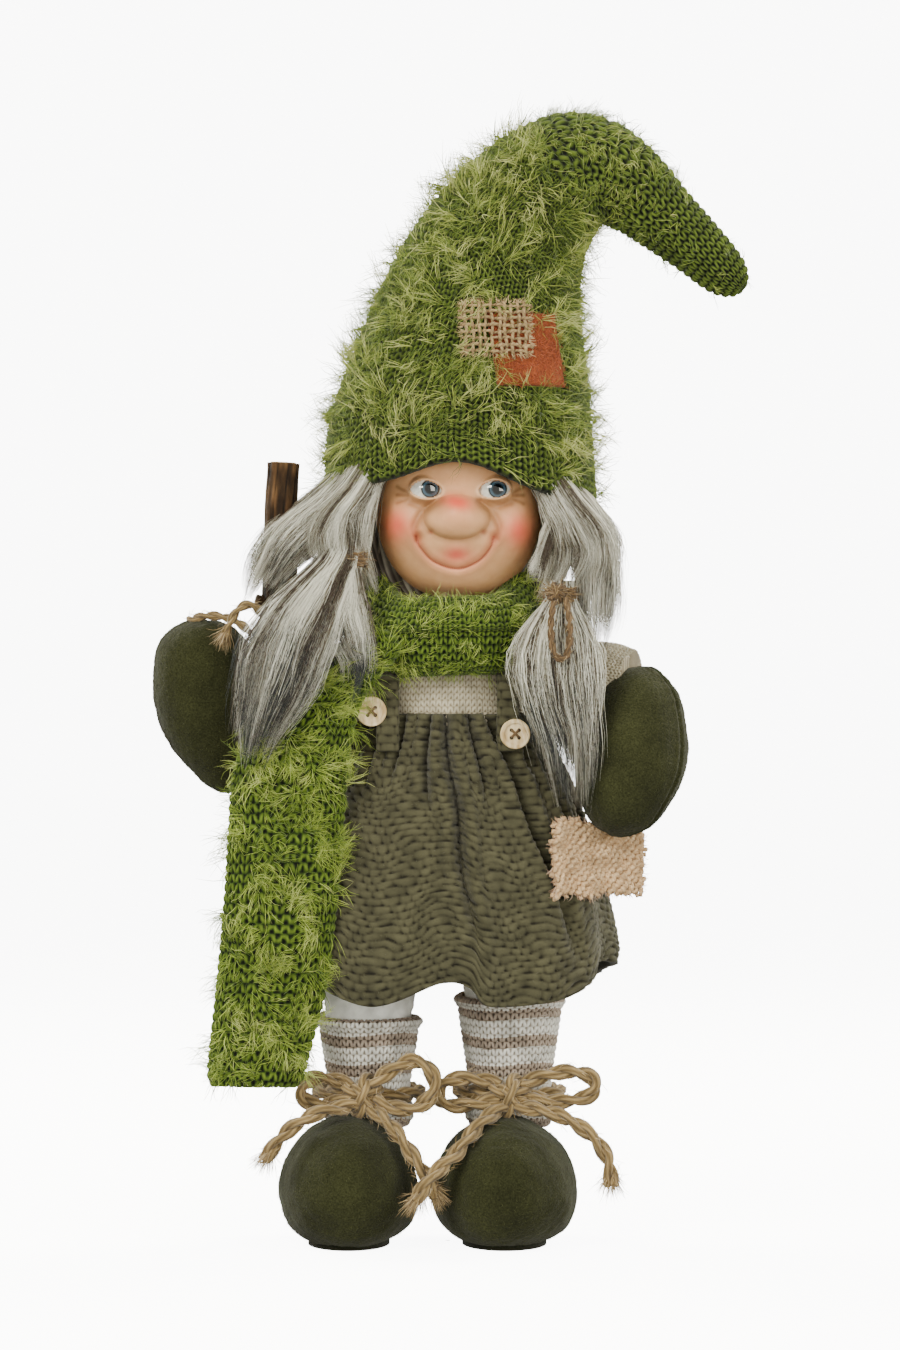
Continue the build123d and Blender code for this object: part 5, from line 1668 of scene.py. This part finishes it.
def make_pocket():
    """A square of sacking on the side of the skirt, frayed at its edges."""
    low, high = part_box("pocket_patch")
    middle, height = (low.z + high.z) / 2 / MM, (high.z - low.z) / MM
    path = evenly(dense_curve(POCKET_PATH), 200, 2)
    longer = np.vstack([path, path[-1] + POCKET_TURN, path[-1] + 2 * POCKET_TURN])
    width = line_length(path)

    def place(s, t):
        s, t = np.broadcast_arrays(np.asarray(s, float), np.asarray(t, float))
        at = (s + width / 2) / width * 199
        xy = at_rows(path, at)
        run = unit(at_rows(longer, at + 2) - xy + 1e-9)
        beyond = np.clip(np.abs(s) - width / 2, 0, None) * np.sign(s)
        xy = xy + run * beyond[..., None]
        normal = np.stack([run[..., 1], -run[..., 0], 0 * at], -1)
        puff = 0.9 + 0.9 * np.sin(s * 0.35) * np.cos(t * 0.3) + 0.5 * np.sin(t * 0.6 + s * 0.2)
        z = middle + t + 0.6 * np.sin(s * 0.3)
        return np.stack([xy[..., 0], xy[..., 1], z], -1) + normal * puff[..., None], normal

    # The cut piece of cloth, thin and closed, which the raised threads cover.
    rows, columns = POCKET_GRID
    share = np.linspace(-0.5, 0.5, columns)
    loop = np.concatenate([share, share[::-1]]) * width
    side = np.repeat((POCKET_THICK / 2, -POCKET_THICK / 2), columns)[:, None]
    layers = []
    for level in np.linspace(-0.5, 0.5, rows) * height:
        points, normals = place(loop, level)
        layers.append(points + normals * side)
    flat_relief = np.full((rows, 2 * columns), 0.2)
    ground = closed_piece("pocket_cloth", np.array(layers), pocket_yarn, relief=flat_relief)
    stand_in(ground, ["pocket_patch"])
    cloth = woven("pocket_sacking", place, width, height, 1.9, 1.05, pocket_yarn, 36, ragged=2.0)
    ride_all([cloth])
    frayed_edge("pocket_hairs", edge_threads(place, width, height, 420, 37, 4.2), 0.13, 38, pocket_fibres)


make_skirt()
make_straps()
make_button_threads()
make_pocket()


# ------------------------------------------------------------------ mittens, stick, legs, socks and shoes

# x, y, z, radius
MITTENS = {
    "right": ((-98, -4, 250.2, 0.6), (-98, -4, 249.6, 7), (-98, -4, 246, 14), (-98.6, -4, 238, 18.8),
              (-98.4, -4, 220, 20.2), (-95, -4, 201, 17), (-91, -4, 188, 10), (-89.5, -4, 182.6, 4),
              (-89.2, -4, 181.4, 0.6)),
    "left": ((77, -16, 232, 0.6), (77, -16, 231, 6), (76.5, -16.5, 226, 12.5), (76, -18, 216, 18.5),
             (74, -20, 200, 22), (72, -23, 184, 20.5), (70, -25, 170, 13), (69, -25, 164.4, 5),
             (69, -25, 163.2, 0.6)),
}


def felt_form(name, grid, body, node, seed, seam=None, hairs=1300):
    """A stuffed felt form: soft lumps, a sewn seam and a haze of short hairs."""
    columns = grid.shape[1]
    lumps = waves(grid, 30, seed) * 0.6 + waves(grid, 6, seed + 1) * 0.15 + waves(grid, 2.0, seed + 2) * 0.12
    if seam is not None:
        away = (np.arange(columns) / columns - seam + 0.5) % 1 - 0.5
        half = np.linalg.norm(grid - grid.mean(1, keepdims=True), axis=-1)
        gap = away[None] * TAU * half
        lumps = lumps - 0.9 * bump(gap, 0.8) + 0.35 * bump(np.abs(gap) - 2, 1.1)
    form = grid + grid_normals(grid) * lumps[..., None]
    stand_in(closed_piece(name, form, olive_felt), [node], body)
    haze = fuzz(f"{name}_hairs", Skin(form), hairs, 1.9, 0.055, olive_fibres, seed + 5, lift=0.5, droop=0.1,
                sink=0.2)
    ride_all(haze, body)


def make_mittens():
    """A felt mitten on each arm."""
    for side, depth, seam, seed in (("right", 0.92, 0.27, 40), ("left", 1, 0.66, 50)):
        rings = [(x, y, z, radius, radius * depth) for x, y, z, radius in MITTENS[side]]
        grid = ring_stack(rings, 150, 160)
        felt_form(f"mitten_felt_{side}", grid, f"arm_{side}", f"mitten_{side}", seed, seam)


def make_stick():
    """A barked branch with two trimmed twigs and a cut top."""
    low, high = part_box("stick")
    top, foot = np.array((-65.0, -18, high.z / MM)), np.array((-74.5, -18, low.z / MM))
    rows, columns = 300, 84
    line = foot + (top - foot) * np.linspace(0, 1, rows)[:, None]
    share = np.linspace(0, 1, rows)[:, None]
    grid = tube_along(line, 6.1, columns)
    angle = np.arange(columns)[None] * TAU / columns
    plates = waves(grid * (1, 1, 0.18), 5, 61, 3)
    cracks = bump((angle * 3 + np.sin(share * 9) + 1.5) % 2 - 1, 0.12)
    knots = bump(share - 0.42, 0.02) + bump(share - 0.78, 0.015)
    # Low relief in the cracks is painted darker by the bark material: painted shade over the bark's own
    # darker colour.
    relief = np.clip(0.55 + 0.4 * plates - 0.4 * cracks, 0, 1)
    bend = 0.9 * np.sin(share * 5)
    grid = grid + grid_normals(grid) * (relief * 0.7 + knots * 0.8)[..., None]
    grid = grid + np.stack([bend, 0 * bend, 0 * bend], -1)
    parts = [(grid, relief)]
    run = unit(top - foot)
    for down, way in ((57, -1), (184, 1)):
        at = top - run * down
        out = unit(np.array((way, -0.3, 0.25)))
        twig = at + out * np.linspace(2, 9.6, 20)[:, None]
        parts.append((tube_along(twig, 2.7 - 0.5 * np.linspace(0, 1, 20), 24), 0.45))
    points, faces, relief = joined(parts)
    stick = mesh_piece("stick_bark", points, faces, bark_material(), relief=relief)
    stand_in(stick, ["stick"], "stick")
    tilt = np.array((0.9 * math.sin(5), 0, 0))
    disc = tube_along(top + tilt + run * np.linspace(-1, 0.35, 4)[:, None], (5.6, 5.5, 5.4, 5.0), 40)
    ride_all([closed_piece("stick_cut_end", disc, cut_wood)], "stick")


SOCK_COURSE = 2.5  # the height of one round of stitches
STRIPE_COURSES, BROWN_COURSES = 4, 1.6  # one stripe of each yarn, and the brown one's part of it


def make_legs():
    """White stuffed legs, each in a striped sock with a rolled top."""
    for side in SIDES:
        low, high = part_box(f"leg_{side}")
        x, y = (low.x + high.x) / 2 / MM, (low.y + high.y) / 2 / MM
        rings = ((x, y, 41, 11.5, 11.5), (x, y, 60, 14, 14), (x, y, 85, 17, 17), (x, y, 100, 18.4, 18.4),
                 (x, y, 114, 18.6, 18.6), (x, y, 118, 16, 16))
        grid = ring_stack(rings, 130, 160)
        creases = 0.35 * waves(grid * (1, 1, 2.2), 16, 63) + 0.12 * waves(grid, 4, 64)
        grid = grid + grid_normals(grid) * creases[..., None]
        # The relief follows the creases, so the cloth is painted darker in them: painted shade.
        leg = closed_piece(f"leg_cloth_{side}", grid, leg_cloth, relief=0.7 + creases * 0.5)
        stand_in(leg, [f"leg_{side}"])

        sock_low, sock_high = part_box(f"sock_{side}")
        bottom, top = sock_low.z / MM, sock_high.z / MM
        wide = (sock_high.x - sock_low.x) / 2 / MM
        rings = ((x, y, bottom - 1, 15, 15), (x, y, bottom + 4, 17.6, 17.6), (x, y, bottom + 10, 16.4, 16.4),
                 (x, y, bottom + 17, 16.2, 16.2), (x, y, top - 9, wide - 2.0, wide - 2.0),
                 (x, y, top - 4, wide - 1.4, wide - 1.4), (x, y, top - 1.6, wide + 0.2, wide + 0.2),
                 (x, y, top + 0.2, wide - 1, wide - 1), (x, y, top - 0.6, wide - 2.6, wide - 2.6))
        rows, columns, courses = 150, 320, round((top - bottom) / SOCK_COURSE)
        grid = ring_stack(rings, rows, columns)
        turn = np.arange(columns)[None] * TAU / columns
        slump = 0.8 * np.sin(turn + 1) + 0.4 * np.sin(2 * turn)
        grid[..., 2] += slump * smoothstep(0.1, 0.4, np.linspace(0, 1, rows))[:, None]
        grid, relief = stitched(grid, stocking_stitch, 38, courses, 0.95, 65, 0.1)
        row = np.arange(rows - 1)[:, None]
        stripe = (row / (rows - 1) * courses + 0.2 * np.sin(turn * 3)) % STRIPE_COURSES
        brown = (stripe < BROWN_COURSES) | (row > rows - 14)
        yarns = brown.astype(int).ravel()
        sock = mesh_piece(f"sock_knit_{side}", grid, [grid_faces(rows, columns)], sock_yarns, yarns, relief)
        stand_in(sock, [f"sock_{side}"])
        down = fuzz(f"sock_fuzz_{side}", Skin(grid), 700, 2.2, 0.06, pale_fibres, 66, lift=0.7, droop=0.1)
        ride_all(down)


# height, middle y, half width as a share, half length
SHOE_RINGS = ((1.4, -9, 0.02, 1), (1.5, -9, 0.5, 24), (3.2, -9, 0.7, 31), (8, -9, 0.9, 37),
              (17, -9.5, 1.02, 41), (26, -9.5, 1.01, 41), (36, -10, 0.88, 37), (44, -10.5, 0.66, 29),
              (50, -11, 0.33, 16), (52, -11, 0.12, 6), (52.4, -11, 0.02, 1))


def make_shoes():
    """A round felt shoe on each foot."""
    for side, seed in (("right", 70), ("left", 80)):
        low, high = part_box(f"shoe_{side}")
        x, half = (low.x + high.x) / 2 / MM, (high.x - low.x) / 2 / MM
        rings = [(x, y, z, share * half, length) for z, y, share, length in SHOE_RINGS]
        grid = ring_stack(rings, 170, 200)
        felt_form(f"shoe_felt_form_{side}", grid, "figure", f"shoe_{side}", seed, hairs=2400)


make_mittens()
make_stick()
make_legs()
make_shoes()


# ------------------------------------------------------------------ CAD pieces that keep their own shape

birch = grained("birch", "a58a60", "d9c7a2", (1, 1, 0.35), 0.55, 420, 0.3)
dowel_wood = grained("dowel_wood", "b08c5c", "dcc193", (1, 1, 0.08), 0.6, 700, 0.3)
board = grained("board", "8f7651", "b89c72", (1, 1, 1), 0.9, 300, 0.4)
wire_steel = grained("wire_steel", "77787a", "a3a4a6", (1, 1, 0.1), 0.35, 2000, 0.1)
stuffing = yarn("stuffing", "c9c7c0", "dedcd6", "f0efea", grain=900)
ballast_cloth = felt("ballast_cloth", "6b6254", "8f8470")
sole_felt = felt("sole_felt", "14150b", "24251a")
KEPT = {
    "buttons": birch,
    "leg_rod_right": dowel_wood,
    "leg_rod_left": dowel_wood,
    "neck_dowel": dowel_wood,
    "base_panel": board,
    "shoe_sole_right": sole_felt,
    "shoe_sole_left": sole_felt,
    "shoulder_wire": wire_steel,
    "arm_wire_right": wire_steel,
    "arm_wire_left": wire_steel,
    "hat_tip_wire": wire_steel,
    "body_core": stuffing,
    "head_core": stuffing,
    "hat_stuffing": stuffing,
    "ballast_bag": ballast_cloth,
}
for node, material in KEPT.items():
    repaint(node, material)
